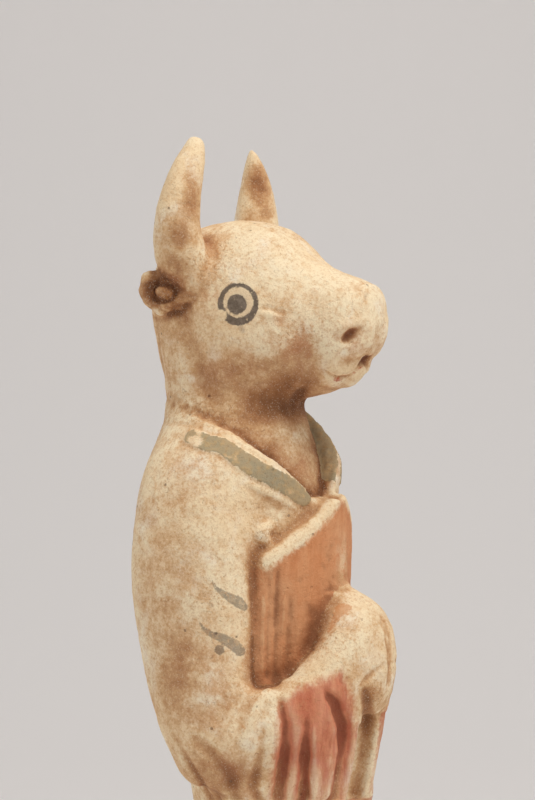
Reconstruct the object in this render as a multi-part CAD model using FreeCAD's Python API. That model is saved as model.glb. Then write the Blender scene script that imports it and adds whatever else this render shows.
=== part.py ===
"""Standing ox-headed figure in court dress: hollow, press-moulded earthenware, 300 mm tall.

The figure is put together from separately formed clay pieces that are luted to each other:
two robe half shells on a thin plinth, a raised skirt front, two collar bands, two arms, two
forearms, a covered pair of clasped hands, two hanging sleeves, two shoe tips, and a hollow head
in two half shells on a neck tenon, with horns and ears pegged into it.

Frame: millimetres, +Z up, the figure faces -Y, its own right hand is at -X. The origin is the
centre of the overall box, on the underside of the plinth.
"""

import FreeCAD
import Part
import math
import os

V = FreeCAD.Vector

# ---------------------------------------------------------------- driving dimensions (mm)
TOTAL_H = 300.0          # horn tips above the table
WALL = 5.0               # wall of the robe shells
HEAD_WALL = 4.5          # wall of the head shells
PLINTH_H = 6.0           # thickness of the plinth
PLINTH_A = 34.0          # plinth half width (X)
PLINTH_FRONT = 43.6      # plinth reach in front of the body axis
PLINTH_BACK = 33.0       # plinth reach behind the body axis
VENT_R = 9.0             # firing vent through the plinth
NECK_Z = 223.0           # plane where the head sits on the robe
TENON_R = 10.5           # neck tenon radius
TENON_BORE_R = 5.0       # the tenon is a thick tube
TENON_Z0, TENON_Z1 = 208.0, 240.0
HORN_PEG_R = 3.2         # peg under each horn
EAR_PEG_R = 2.2          # peg under each ear
NOSTRIL_R = 1.5          # nostril dimples
PANEL_T = 3.4            # how far the skirt front stands proud of the robe
PANEL_TOP_MID = 207.4    # top edge of the skirt front on the centre line
PANEL_TOP_SIDE = 190.8   # top edge of the skirt front at its outer corners
PANEL_HALF_W = 22.6      # half width of the skirt front
COLLAR_T = 1.3           # thickness of a collar band
COLLAR_W = 6.0           # width of a collar band
DRAPE_Z = 70.0           # lower end of the hanging sleeves

# the overall box runs from PLINTH_BACK behind the body axis to PLINTH_FRONT before it
AXIS_Y = (PLINTH_FRONT - PLINTH_BACK) / 2.0      # Y of the body axis


def pt(x, f, z):
    """A point from side offset x, reach f in front of the body axis, and height z."""
    return V(x, AXIS_Y - f, z)


# ---------------------------------------------------------------- sections and lofts
def lobe(t, n):
    c, s = math.cos(t), math.sin(t)
    e = 2.0 / n
    return (math.copysign(abs(c) ** e, c), math.copysign(abs(s) ** e, s))


def closed_curve(points):
    c = Part.BSplineCurve()
    c.interpolate(Points=points, PeriodicFlag=True)
    return Part.Wire([c.toShape()])


def ring(z, a, front, back, n=2.2, cx=0.0, cf=None, count=20, nf=None):
    """Horizontal closed curve at height z: half width a about cx, reaching front before and back behind."""
    if cf is None:
        cf = (front - back) / 2.0
    pts = []
    for k in range(count):
        t = 2 * math.pi * (k + 0.5) / count
        ux, uf = lobe(t, n if nf is None or t > math.pi else nf)
        f = cf + (front - cf) * uf if uf > 0 else cf + (back + cf) * uf
        pts.append(pt(cx + a * ux, f, z))
    return closed_curve(pts)


def loft(wires):
    s = Part.makeLoft(wires, True, False)
    if s.Volume < 0:
        s.reverse()
    return s


def biggest(shape, keep=1):
    solids = sorted(shape.Solids, key=lambda q: -q.Volume)
    if not solids:
        raise RuntimeError("nothing left of a piece")
    return solids[0] if keep == 1 else Part.makeCompound(solids[:keep])


def half_space(x0, x1, y0, y1, z0, z1):
    return Part.makeBox(x1 - x0, y1 - y0, z1 - z0, V(x0, y0, z0))


def mirror(shape):
    """The same piece on the figure's other side."""
    return shape.mirror(V(0, 0, 0), V(1, 0, 0))


# ---------------------------------------------------------------- robe
# height, half width, reach in front, reach behind
ROBE = [
    (PLINTH_H, 27.5, 26.0, 23.0, 2.3),
    (16.0, 26.6, 25.0, 22.0, 2.3),
    (40.0, 23.8, 21.5, 19.0, 2.3),
    (70.0, 20.8, 18.0, 15.8, 2.3),
    (100.0, 18.8, 16.2, 13.6, 2.3),
    (122.0, 18.6, 16.0, 13.4, 2.3),
    (138.0, 21.0, 18.2, 16.5, 2.3),
    (152.0, 24.0, 21.2, 20.4, 2.3),
    (170.0, 26.6, 23.4, 24.4, 2.3),
    (188.0, 27.6, 24.2, 26.4, 2.3),
    (200.0, 27.4, 24.2, 26.6, 2.3),
    (207.0, 26.6, 24.0, 26.2, 2.3),
    (213.0, 25.0, 23.2, 25.6, 2.25),
    (219.0, 22.4, 21.0, 24.8, 2.2),
    (NECK_Z, 20.4, 18.6, 23.8, 2.15),
]


def keel(z, n):
    """The chest comes to a soft keel in front between the hands and the collar."""
    return 1.85 if 150.0 < z < 205.0 else (2.05 if 135.0 < z < 210.0 else n)


def robe_ring(z, a, f, b, n):
    return ring(z, a, f, b, n, nf=keel(z, n))


robe_solid = loft([robe_ring(*r) for r in ROBE])

INNER_TOP = 206.0
inner = []
for z, a, f, b, n in ROBE:
    if z < INNER_TOP:
        inner.append((z, a - WALL, f - WALL, b - WALL))
inner[0] = (PLINTH_H, ROBE[0][1] - WALL, ROBE[0][2] - WALL, ROBE[0][3] - WALL)
inner.append((INNER_TOP, 17.0, 13.0, 17.0))
robe_hollow = loft([ring(z, a, f, b, 2.2) for z, a, f, b in inner])

tenon_at = pt(0, -3.0, 0)
tenon_hole = Part.makeCylinder(TENON_R, TENON_Z1 - 200.0, V(tenon_at.x, tenon_at.y, 200.0))
robe_shell = robe_solid.cut(robe_hollow).cut(tenon_hole)
seam_y = AXIS_Y
robe_front = biggest(robe_shell.common(half_space(-80, 80, -120, seam_y, -1, 260)))
robe_back = biggest(robe_shell.common(half_space(-80, 80, seam_y, 120, -1, 260)))

# ---------------------------------------------------------------- plinth with its firing vent
plinth_body = loft([
    ring(0.0, PLINTH_A - 0.8, PLINTH_FRONT - 0.8, PLINTH_BACK - 0.8, 3.4),
    ring(1.5, PLINTH_A, PLINTH_FRONT, PLINTH_BACK, 3.4),
    ring(PLINTH_H - 1.5, PLINTH_A, PLINTH_FRONT, PLINTH_BACK, 3.4),
    ring(PLINTH_H, PLINTH_A - 1.6, PLINTH_FRONT - 1.6, PLINTH_BACK - 1.6, 3.4),
])
plinth = plinth_body.cut(Part.makeCylinder(VENT_R, 40, V(0, 0, -10)))

# ---------------------------------------------------------------- neck tenon
neck_tenon = Part.makeCylinder(TENON_R, TENON_Z1 - TENON_Z0, V(tenon_at.x, tenon_at.y, TENON_Z0)).cut(
    Part.makeCylinder(TENON_BORE_R, 80, V(tenon_at.x, tenon_at.y, 190)))

# ---------------------------------------------------------------- head
# reach f, half width, underside height, top height
HEAD = [
    (-24.6, 6.0, 249.5, 262.0),
    (-23.2, 12.0, 244.5, 268.4),
    (-19.2, 16.6, 239.0, 273.8),
    (-11.0, 20.0, 233.0, 277.2),
    (-3.0, 21.4, 229.2, 278.3),
    (6.0, 20.8, 228.8, 277.4),
    (12.0, 18.8, 229.6, 275.0),
    (16.5, 16.6, 230.6, 271.4),
    (21.0, 14.6, 231.6, 267.4),
    (26.0, 13.2, 233.0, 264.4),
    (31.0, 12.4, 235.8, 262.6),
    (34.4, 11.0, 240.2, 261.2),
    (37.0, 8.4, 244.4, 259.0),
    (38.6, 4.4, 248.4, 255.0),
]


def head_ring(f, w, z0, z1, grow=0.0, n=2.25, count=20):
    cz, hz, w = (z0 + z1) / 2.0, (z1 - z0) / 2.0 + grow, w + grow
    pts = []
    for k in range(count):
        t = 2 * math.pi * (k + 0.5) / count
        ux, uz = lobe(t, n)
        pts.append(pt(w * ux, f, cz + hz * uz))
    return closed_curve(pts)


head_outer = loft([head_ring(*h) for h in HEAD])
neck_outer = loft([
    ring(NECK_Z, 20.0, 16.4, 23.6, 2.1),
    ring(228.0, 18.9, 15.0, 23.2, 2.1),
    ring(234.0, 18.8, 14.0, 23.8, 2.1),
    ring(242.0, 18.6, 12.2, 24.4, 2.1),
    ring(250.0, 16.6, 9.4, 23.4, 2.1),
])
head_solid = head_outer.fuse(neck_outer)
head_hollow = loft([head_ring(f, w - HEAD_WALL - (1.2 if f < -15.0 else 0.0), z0 + HEAD_WALL + 1.0, z1 - HEAD_WALL, 0.0)
                    for f, w, z0, z1 in HEAD[2:10]])
neck_hole = Part.makeCylinder(TENON_R, TENON_Z1 - 200.0, V(tenon_at.x, tenon_at.y, 200.0))
head_shell = head_solid.cut(head_hollow).cut(neck_hole)

# horns: (side offset, reach, height, radius across, radius along) along the right horn, root first
HORN_R = [
    (-14.0, -7.8, 260.5, 6.8, 6.8),
    (-19.0, -8.2, 264.5, 6.8, 6.8),
    (-22.8, -8.4, 270.0, 6.4, 6.6),
    (-24.4, -8.2, 276.5, 5.6, 6.0),
    (-23.8, -7.4, 283.0, 4.8, 5.3),
    (-21.8, -6.6, 289.5, 3.8, 4.3),
    (-19.4, -5.8, 295.5, 2.7, 3.0),
    (-18.2, -5.6, TOTAL_H - 1.0, 1.2, 1.4),
]
HORN_L = [
    (14.0, -9.8, 260.5, 7.0, 7.0),
    (19.0, -10.2, 264.5, 7.1, 7.1),
    (22.0, -10.4, 270.0, 6.8, 6.8),
    (22.6, -10.4, 276.5, 6.2, 6.2),
    (22.6, -10.3, 283.0, 5.2, 5.2),
    (22.4, -10.3, 288.5, 4.2, 4.2),
    (21.4, -10.3, 294.0, 2.9, 2.9),
    (20.0, -10.2, TOTAL_H - 0.2, 0.8, 0.8),
]


def path_loft(rows, count=14):
    """A loft of ellipses square to a path of (x, f, z, radius across the path's plane, radius along f)."""
    p = [pt(*r[:3]) for r in rows]
    wires = []
    for i, r in enumerate(rows):
        d = p[min(i + 1, len(p) - 1)] - p[max(i - 1, 0)]
        d.normalize()
        along = V(0, -1, 0) - d * (V(0, -1, 0).dot(d))
        along.normalize()
        across = d.cross(along)
        wires.append(closed_curve([
            p[i] + across * (r[3] * math.cos(2 * math.pi * k / count)) + along * (r[4] * math.sin(2 * math.pi * k / count))
            for k in range(count)]))
    return loft(wires)


def peg(a, b, r):
    """Round peg from point a to point b."""
    d = b - a
    return Part.makeCylinder(r, d.Length, a, d)


def horn(rows):
    body = path_loft(rows).cut(head_solid)
    body = biggest(body)
    side = math.copysign(1.0, rows[0][0])
    pin = peg(pt(side * 12.0, -7.7, 257.5), pt(side * 20.0, -8.2, 265.5), HORN_PEG_R)
    return body, pin


horn_r_body, horn_r_pin = horn(HORN_R)
horn_l_body, horn_l_pin = horn(HORN_L)

# ears: short cupped stubs, right one first
EAR = [
    (-16.5, -11.2, 256.0, 4.3, 5.4),
    (-20.5, -12.2, 257.2, 4.4, 5.6),
    (-23.3, -12.9, 258.0, 4.4, 5.6),
    (-25.6, -13.5, 258.5, 3.9, 5.0),
]
ear_full = path_loft(EAR)
ear_dir = pt(*EAR[3][:3]) - pt(*EAR[2][:3])
ear_dir.normalize()
ear_tip = pt(*EAR[3][:3])
ear_cup = Part.makeCone(2.2, 3.2, 1.6, ear_tip - ear_dir * 1.5, ear_dir)
ear_body = biggest(ear_full.cut(head_solid).cut(ear_cup))
ear_pin = peg(pt(-14.5, -12.6, 254.4), pt(-21.5, -12.6, 257.0), EAR_PEG_R)

head_shell = head_shell.cut(horn_r_pin).cut(horn_l_pin).cut(ear_pin).cut(mirror(ear_pin))
# horn and ear bodies keep clear of the shell; pegs are trimmed to the hollow behind the wall
horn_right = horn_r_body.fuse(horn_r_pin.common(head_solid)).removeSplitter()
horn_left = horn_l_body.fuse(horn_l_pin.common(head_solid)).removeSplitter()
ear_right = ear_body.fuse(ear_pin.common(head_solid)).removeSplitter()
ear_right = ear_right.cut(horn_r_body)
ear_left = biggest(mirror(ear_body).cut(horn_l_body)).fuse(mirror(ear_pin.common(head_solid))).removeSplitter()
horn_right, horn_left = biggest(horn_right), biggest(horn_left)
ear_right, ear_left = biggest(ear_right), biggest(ear_left)

# nostrils: short blind tapered dimples
for side in (-1, 1):
    into = V(-side * 0.62, 0.75, -0.2)
    into.normalize()
    mouth = pt(side * 9.2, 36.6, 250.0) - into * 1.4
    head_shell = head_shell.cut(Part.makeCone(NOSTRIL_R + 0.5, NOSTRIL_R - 0.6, 4.4, mouth, into))
head_right = biggest(head_shell.common(half_space(-80, 0, -120, 120, 200, 320)))
head_left = biggest(head_shell.common(half_space(0, 80, -120, 120, 200, 320)))

# ---------------------------------------------------------------- arms with their sleeve bags
# height, centre x, half width, reach in front, reach behind
ARM = [
    (130.0, -23.4, 4.0, 6.5, 1.6),
    (133.0, -23.9, 7.0, 10.4, 4.8),
    (140.0, -24.0, 9.6, 13.6, 9.0),
    (152.0, -24.0, 10.8, 13.6, 14.2),
    (168.0, -23.8, 11.4, 12.8, 18.2),
    (184.0, -23.6, 11.4, 12.0, 20.6),
    (198.0, -22.6, 11.2, 11.0, 20.6),
    (208.0, -20.6, 11.0, 9.6, 19.8),
    (215.0, -17.6, 11.0, 8.4, 18.4),
    (219.5, -14.8, 10.0, 6.0, 16.6),
]
arm_full = loft([ring(z, a, f, b, 2.3, cx=x) for z, x, a, f, b in ARM])
arm_right = biggest(arm_full.cut(robe_solid))
arm_left = mirror(arm_right)

# ---------------------------------------------------------------- forearms, hands, hanging sleeves
FORE = [
    (-27.4, 2.0, 144.0, 8.6, 7.0),
    (-25.6, 9.4, 145.0, 9.2, 7.6),
    (-21.0, 18.0, 147.8, 9.6, 8.0),
    (-14.4, 25.6, 153.6, 12.0, 7.8),
    (-7.0, 30.6, 162.0, 13.4, 7.4),
    (0.0, 31.8, 164.2, 13.0, 7.2),
]


def beam_loft(rows, count=16):
    """A loft along (x, f, z, half height, half thickness), with upright sections square to the plan direction."""
    p = [pt(*r[:3]) for r in rows]
    wires = []
    for i, r in enumerate(rows):
        d = p[min(i + 1, len(p) - 1)] - p[max(i - 1, 0)]
        if i == len(rows) - 1:
            d = V(1, 0, 0)
        flat = V(d.x, d.y, 0)
        flat.normalize()
        side = V(flat.y, -flat.x, 0)
        wires.append(closed_curve([
            p[i] + V(0, 0, 1) * (r[3] * math.sin(2 * math.pi * k / count)) + side * (r[4] * math.cos(2 * math.pi * k / count))
            for k in range(count)]))
    return loft(wires)


fore_full = beam_loft(FORE)
forearm_right = biggest(fore_full.cut(robe_solid).cut(arm_right).common(half_space(-80, 0, -120, 120, 100, 220)))

hands_full = loft([
    ring(148.0, 6.0, 37.0, -27.0, 2.2, cf=32.0),
    ring(152.0, 9.5, 40.0, -24.0, 2.2, cf=32.0),
    ring(160.0, 11.6, 41.6, -22.0, 2.2, cf=32.0),
    ring(168.0, 11.4, 41.2, -22.0, 2.2, cf=32.0),
    ring(174.0, 9.0, 38.6, -23.0, 2.2, cf=31.0),
    ring(179.0, 5.4, 34.4, -25.0, 2.2, cf=30.0),
])
clasped_hands = biggest(hands_full.cut(robe_solid).cut(forearm_right).cut(mirror(forearm_right)))
forearm_left = mirror(forearm_right)

# hanging sleeve: height, centre x, half width, centre f, half depth, turned outward at the back
DRAPE = [
    (DRAPE_Z, -12.6, 6.0, 13.6, 4.4),
    (76.0, -13.2, 7.8, 14.2, 5.4),
    (95.0, -14.2, 9.6, 15.4, 6.4),
    (115.0, -15.2, 11.0, 17.2, 7.0),
    (132.0, -16.0, 12.2, 19.4, 7.4),
    (146.0, -16.6, 12.8, 21.0, 7.6),
    (156.0, -16.2, 12.0, 21.6, 7.0),
]


def drape_ring(z, x, hw, f, hd, count=20):
    """Oval seen from above whose long axis runs from outside at the back to the front centre."""
    a = math.radians(50.0)
    pts = []
    for k in range(count):
        t = 2 * math.pi * k / count
        ux, uf = lobe(t, 2.6)
        s, d = hw * 1.35 * ux, hd * uf
        pts.append(pt(x + s * math.cos(a) - d * math.sin(a), f + s * math.sin(a) + d * math.cos(a), z))
    return closed_curve(pts)


drape_full = loft([drape_ring(*d) for d in DRAPE])
drape = drape_full.cut(robe_solid).cut(arm_right).cut(fore_full).cut(hands_full)
drape = biggest(drape.common(half_space(-80, -0.2, -120, 120, 10, 200)))
sleeve_right = drape
sleeve_left = mirror(drape)

# ---------------------------------------------------------------- skirt front, standing proud of the robe
panel_rows = [(z, a + 0.4, f + PANEL_T, b, n) for z, a, f, b, n in ROBE if 130 < z < 214]
panel_block = loft([robe_ring(*r) for r in panel_rows])


def slanted_prism(poly, y0, y1):
    """Prism along Y over a polygon of (x, z)."""
    w = Part.makePolygon([V(x, y0, z) for x, z in poly] + [V(poly[0][0], y0, poly[0][1])])
    return Part.Face(w).extrude(V(0, y1 - y0, 0))


panel_cut = slanted_prism([
    (-PANEL_HALF_W, 146.0), (PANEL_HALF_W, 146.0), (PANEL_HALF_W, PANEL_TOP_SIDE),
    (0.0, PANEL_TOP_MID), (-PANEL_HALF_W, PANEL_TOP_SIDE)], -60.0, AXIS_Y - 9.0)
half_panel = panel_block.common(panel_cut).common(half_space(-80, 0, -120, 120, 100, 260))
half_panel = biggest(half_panel.cut(robe_solid).cut(arm_right).cut(fore_full).cut(hands_full).cut(drape_full))
skirt_front = biggest(half_panel.fuse(mirror(half_panel)).removeSplitter())

# ---------------------------------------------------------------- collar bands
collar_block = loft([robe_ring(z, a + COLLAR_T, f + COLLAR_T, b + COLLAR_T, n) for z, a, f, b, n in ROBE if 186 < z])


def band_between(x0, z0, x1, z1, w):
    dx, dz = x1 - x0, z1 - z0
    n = math.hypot(dx, dz)
    px, pz = -dz / n * w / 2, dx / n * w / 2
    return [(x0 + px, z0 + pz), (x1 + px, z1 + pz), (x1 - px, z1 - pz), (x0 - px, z0 - pz)]


collar_cut = slanted_prism(band_between(-22.0, 219.0, -2.6, 206.5, COLLAR_W), -60.0, AXIS_Y + 4.0)
collar_right = collar_block.common(collar_cut).cut(robe_solid).cut(skirt_front)
collar_right = collar_right.cut(arm_right).cut(head_solid)
collar_right = biggest(collar_right)
collar_left = mirror(collar_right)

# ---------------------------------------------------------------- shoe tips
shoe_full = loft([
    ring(PLINTH_H, 7.4, 36.0, -14.0, 2.4, cx=-10.5, cf=24.0),
    ring(9.0, 7.8, 37.0, -14.0, 2.4, cx=-10.5, cf=24.0),
    ring(13.0, 6.8, 36.6, -14.0, 2.3, cx=-10.5, cf=24.0),
    ring(16.0, 4.6, 34.4, -15.0, 2.2, cx=-10.5, cf=24.0),
    ring(17.2, 2.4, 31.6, -17.0, 2.2, cx=-10.5, cf=24.0),
])
shoe_right = biggest(shoe_full.cut(robe_solid))
shoe_left = mirror(shoe_right)

PIECES = {
    "plinth": plinth,
    "robe_front_shell": robe_front,
    "robe_back_shell": robe_back,
    "skirt_front": skirt_front,
    "collar_band_right": collar_right,
    "collar_band_left": collar_left,
    "neck_tenon": neck_tenon,
    "head_right_shell": head_right,
    "head_left_shell": head_left,
    "horn_right": horn_right,
    "horn_left": horn_left,
    "ear_right": ear_right,
    "ear_left": ear_left,
    "arm_right": arm_right,
    "arm_left": arm_left,
    "forearm_right": forearm_right,
    "forearm_left": forearm_left,
    "clasped_hands": clasped_hands,
    "hanging_sleeve_right": sleeve_right,
    "hanging_sleeve_left": sleeve_left,
    "shoe_right": shoe_right,
    "shoe_left": shoe_left,
}

os.makedirs("parts", exist_ok=True)
lo, hi = [1e9] * 3, [-1e9] * 3
for name, shape in PIECES.items():
    ok = shape.isValid()
    b = shape.BoundBox
    for i, (p, q) in enumerate(((b.XMin, b.XMax), (b.YMin, b.YMax), (b.ZMin, b.ZMax))):
        lo[i], hi[i] = min(lo[i], p), max(hi[i], q)
    print("%-22s valid=%s solids=%d faces=%d volume=%.0f" % (name, ok, len(shape.Solids), len(shape.Faces), shape.Volume))
    shape.exportStep("parts/" + name + ".step")
print("overall", [round(v, 2) for v in lo], [round(v, 2) for v in hi])
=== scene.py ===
import math

import bpy
import numpy as np
from mathutils import Matrix, Vector


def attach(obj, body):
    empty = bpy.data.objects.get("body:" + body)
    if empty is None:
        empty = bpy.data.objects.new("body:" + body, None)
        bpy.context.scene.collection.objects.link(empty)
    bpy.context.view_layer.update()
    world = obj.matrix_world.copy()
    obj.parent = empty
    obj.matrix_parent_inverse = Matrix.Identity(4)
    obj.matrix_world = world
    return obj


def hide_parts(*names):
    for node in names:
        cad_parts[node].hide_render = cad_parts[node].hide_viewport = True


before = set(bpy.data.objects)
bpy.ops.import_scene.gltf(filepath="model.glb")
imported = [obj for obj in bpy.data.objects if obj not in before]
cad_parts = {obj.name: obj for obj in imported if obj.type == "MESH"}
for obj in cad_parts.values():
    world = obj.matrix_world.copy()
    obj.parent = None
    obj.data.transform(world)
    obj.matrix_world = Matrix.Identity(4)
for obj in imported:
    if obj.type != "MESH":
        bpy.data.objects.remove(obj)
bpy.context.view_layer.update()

H = 0.5            # sculpting grid, mm
AXIS_Y = 5.3                         # Y of the body axis in the row frame, mm
f32 = np.float32

# Everything below is sculpted in figure coordinates, in mm: X to the figure's left, F in front of the
# body axis, Z up. A figure point (X, F, Z) is (X, AXIS_Y - F, Z) in the row frame.

# ------------------------------------------------------------------------------------ camera model
TH, EL, DIST, MMPX, X0, Z0 = math.radians(62.0), math.radians(2.0), 450.0, 0.27, 250.0, 230.0
FPX = DIST / MMPX
TOC = np.array([-math.sin(TH) * math.cos(EL), math.cos(TH) * math.cos(EL), math.sin(EL)])
RIGHT = np.array([math.cos(TH), math.sin(TH), 0.0])
UP = np.array([math.sin(TH) * math.sin(EL), -math.cos(TH) * math.sin(EL), math.cos(EL)])
AIM = RIGHT * (267.5 - X0) * MMPX + np.array([0, 0, Z0])
EYE = AIM + TOC * DIST


def project(p):
    """Frame position (535 x 800) and depth of figure points."""
    q = p - EYE
    z = -(q @ TOC)
    return 267.5 + FPX * (q @ RIGHT) / z, 400.0 - FPX * (q @ UP) / z, z


def step01(v):
    v = np.clip(v, 0, 1)
    return v * v * (3 - 2 * v)


# ------------------------------------------------------------------------------------ grid and fields
xs = (np.arange(-int(38.5 / H), int(38.5 / H) + 1) * H).astype(f32)
fs = np.arange(-36.5, 47.0, H).astype(f32)
zs = np.arange(3.0, 303.0, H).astype(f32)
SHAPE = (len(xs), len(fs), len(zs))
D = np.full(SHAPE, 50.0, f32)        # the sculpted solid
NEAR = np.full(SHAPE, 50.0, f32)     # distance to the nearest single form
LAB = np.zeros(SHAPE, np.uint8)      # and which form that is
(ROBE, HEAD, HORN_R, HORN_L, EAR_R, EAR_L, ARM_R, ARM_L, FORE_R, FORE_L, HANDS, DRAPE_R, DRAPE_L,
 PANEL, COLLAR_R, COLLAR_L, SHOE_R, SHOE_L) = range(1, 19)


def window(lo, hi):
    s = []
    for a, l, h in zip((xs, fs, zs), lo, hi):
        i, j = np.searchsorted(a, [l, h])
        s.append(slice(max(0, i - 1), min(len(a), j + 1)))
    s = tuple(s)
    return s, xs[s[0]][:, None, None], fs[s[1]][None, :, None], zs[s[2]][None, None, :]


def smin(a, b, k):
    h = np.maximum(k - np.abs(a - b), 0) / k
    return np.minimum(a, b) - h * h * (k * 0.25)


def smax(a, b, k):
    h = np.maximum(k - np.abs(a - b), 0) / k
    return np.maximum(a, b) + h * h * (k * 0.25)


def add(s, d, label, k):
    d = d.astype(f32)
    D[s] = smin(D[s], d, k)
    m = d < NEAR[s]
    NEAR[s][m] = np.broadcast_to(d, m.shape)[m]
    LAB[s][m] = label


def metric(r):
    """Turns a form's implicit value r (1 on its surface) into a distance in mm."""
    g = np.gradient(r, H)
    return (r - 1) / np.maximum(np.sqrt(g[0] ** 2 + g[1] ** 2 + g[2] ** 2), 5e-3)


def curve(t, tr, vr):
    """Smooth curve through (tr, vr)."""
    tr, vr = np.asarray(tr, float), np.asarray(vr, float)
    m = np.gradient(vr, tr)
    i = np.clip(np.searchsorted(tr, t) - 1, 0, len(tr) - 2)
    h = tr[i + 1] - tr[i]
    s = np.clip((t - tr[i]) / h, 0, 1)
    return (vr[i] * (2 * s**3 - 3 * s**2 + 1) + h * m[i] * (s**3 - 2 * s**2 + s)
            + vr[i + 1] * (3 * s**2 - 2 * s**3) + h * m[i + 1] * (s**3 - s**2))


def cols(rows, t):
    r = np.array(rows, float)
    return [curve(t, r[:, 0], r[:, i]).astype(f32) for i in range(1, r.shape[1])]


def up_loft(rows, turn=None, cap=2.0, margin=7.0, keel=None):
    """A form lofted up Z: rows of (z, centre x, half width, front, back, squareness); keel sharpens the front."""
    r = np.array(rows, float)
    reach = max(np.abs(r[:, 2]).max(), np.abs(r[:, 3]).max(), np.abs(r[:, 4]).max())
    if turn is None:
        lo = [(r[:, 1] - r[:, 2]).min(), (-r[:, 4]).min(), r[0, 0]]
        hi = [(r[:, 1] + r[:, 2]).max(), r[:, 3].max(), r[-1, 0]]
    else:
        lo = [(r[:, 1] - r[:, 2]).min(), (turn[1] - reach), r[0, 0]]
        hi = [(r[:, 1] + r[:, 2]).max(), (turn[1] + reach), r[-1, 0]]
    s, x, f, z = window([v - margin for v in lo], [v + margin for v in hi])
    cx, a, fr, bk, n = cols(rows, zs[s[2]])
    cf, sf = (fr - bk) / 2, (fr + bk) / 2
    if keel:
        k = np.interp(zs[s[2]], [125, 150, 203, 213], [2.3, keel, keel, 2.2]).astype(f32)[None, None, :]
        n = n + (k - n) * np.clip((f - cf) / 6.0, 0, 1)
    q = (np.abs((x - cx) / a) ** n + np.abs((f - cf) / sf) ** n) ** (1 / n)
    g = np.gradient(q, H)
    flat = (q - 1) / np.maximum(np.sqrt(g[0] ** 2 + g[1] ** 2), 5e-3)
    d = (q - 1) / np.maximum(np.sqrt(g[0] ** 2 + g[1] ** 2 + g[2] ** 2), 5e-3)
    d = np.where(flat > 2.0, np.maximum(d, 0.75 * flat - 1.5), d)
    return s, smax(smax(d, r[0, 0] - z, cap), z - r[-1, 0], cap)


def chain(points, label=None, k=0.8, margin=5.0):
    """Distance to a chain of round cones through (x, f, z, r)."""
    p = np.array(points, float)
    rm = p[:, 3].max() + margin
    s, x, f, z = window(p[:, :3].min(0) - rm, p[:, :3].max(0) + rm)
    T = np.full((x.size, f.size, z.size), 50.0, f32)
    for a, b in zip(p[:-1], p[1:]):
        rr = max(a[3], b[3]) + margin
        lo, hi = np.minimum(a, b)[:3] - rr, np.maximum(a, b)[:3] + rr
        w, wx, wf, wz = window(lo, hi)
        t = tuple(slice(max(0, w[i].start - s[i].start), min(T.shape[i], w[i].stop - s[i].start)) for i in range(3))
        wx, wf, wz = x[t[0]], f[:, t[1]], z[:, :, t[2]]
        ab = (b - a)[:3]
        L2 = max(float(ab @ ab), 1e-9)
        u = np.clip(((wx - a[0]) * ab[0] + (wf - a[1]) * ab[1] + (wz - a[2]) * ab[2]) / L2, 0, 1)
        d = np.sqrt((wx - a[0] - u * ab[0]) ** 2 + (wf - a[1] - u * ab[1]) ** 2 + (wz - a[2] - u * ab[2]) ** 2)
        d = d - (a[3] + (b[3] - a[3]) * u)
        T[t] = smin(T[t], d.astype(f32), k)
    return s, T


def smooth_path(rows, n=24):
    r = np.array(rows, float)
    t = np.r_[0, np.cumsum(np.linalg.norm(np.diff(r[:, :3], axis=0), axis=1))]
    tt = np.linspace(0, t[-1], n)
    return np.stack([curve(tt, t, r[:, i]) for i in range(r.shape[1])], 1)


def ball(c, r, margin=5.0):
    """Distance to an ellipsoid with centre c and radii r."""
    c, r = np.array(c, float), np.array(r, float)
    s, x, f, z = window(c - r - margin, c + r + margin)
    q = np.sqrt(((x - c[0]) / r[0]) ** 2 + ((f - c[1]) / r[1]) ** 2 + ((z - c[2]) / r[2]) ** 2)
    g = np.sqrt(((x - c[0]) / r[0] ** 2) ** 2 + ((f - c[1]) / r[1] ** 2) ** 2 + ((z - c[2]) / r[2] ** 2) ** 2)
    return s, (q * (q - 1) / np.maximum(g, 1e-4)).astype(f32)


def beam(rows, margin=6.0, n=26):
    """A bar along (x, f, z, half height, half thickness) with upright oval sections."""
    p = smooth_path(rows, n)
    rm = max(p[:, 3].max(), p[:, 4].max()) + margin
    s, x, f, z = window(p[:, :3].min(0) - rm, p[:, :3].max(0) + rm)
    best = np.full((x.size, f.size), 1e9)
    par = np.zeros((x.size, f.size))
    X, F = x[:, :, 0], f[:, :, 0]
    for i, (a, b) in enumerate(zip(p[:-1], p[1:])):
        ab = b[:2] - a[:2]
        u = np.clip(((X - a[0]) * ab[0] + (F - a[1]) * ab[1]) / max(ab @ ab, 1e-9), 0, 1)
        d = np.hypot(X - a[0] - u * ab[0], F - a[1] - u * ab[1])
        m = d < best
        best[m], par[m] = d[m], (i + u)[m]
    idx = np.arange(n)
    zc, hh, ht = [np.interp(par, idx, p[:, c]).astype(f32)[:, :, None] for c in (2, 3, 4)]
    q = ((best.astype(f32)[:, :, None] / ht) ** 2.2 + (np.abs(z - zc) / hh) ** 2.2) ** (1 / 2.2)
    return s, metric(q)


def sample(A, p):
    """Trilinear value of grid A at figure points."""
    g = np.stack([(p[:, 0] - xs[0]) / H, (p[:, 1] - fs[0]) / H, (p[:, 2] - zs[0]) / H], 1)
    g = np.clip(g, 0, np.array(A.shape) - 1.001)
    i = g.astype(int)
    t = g - i
    out = 0
    for dx in (0, 1):
        for dy in (0, 1):
            for dz in (0, 1):
                w = (t[:, 0] if dx else 1 - t[:, 0]) * (t[:, 1] if dy else 1 - t[:, 1]) * (t[:, 2] if dz else 1 - t[:, 2])
                out = out + w * A[i[:, 0] + dx, i[:, 1] + dy, i[:, 2] + dz]
    return out


def normal_at(p, e=0.6):
    g = np.stack([sample(D, p + d) - sample(D, p - d) for d in np.eye(3) * e], 1)
    return g / (np.linalg.norm(g, axis=1)[:, None] + 1e-9)


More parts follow.
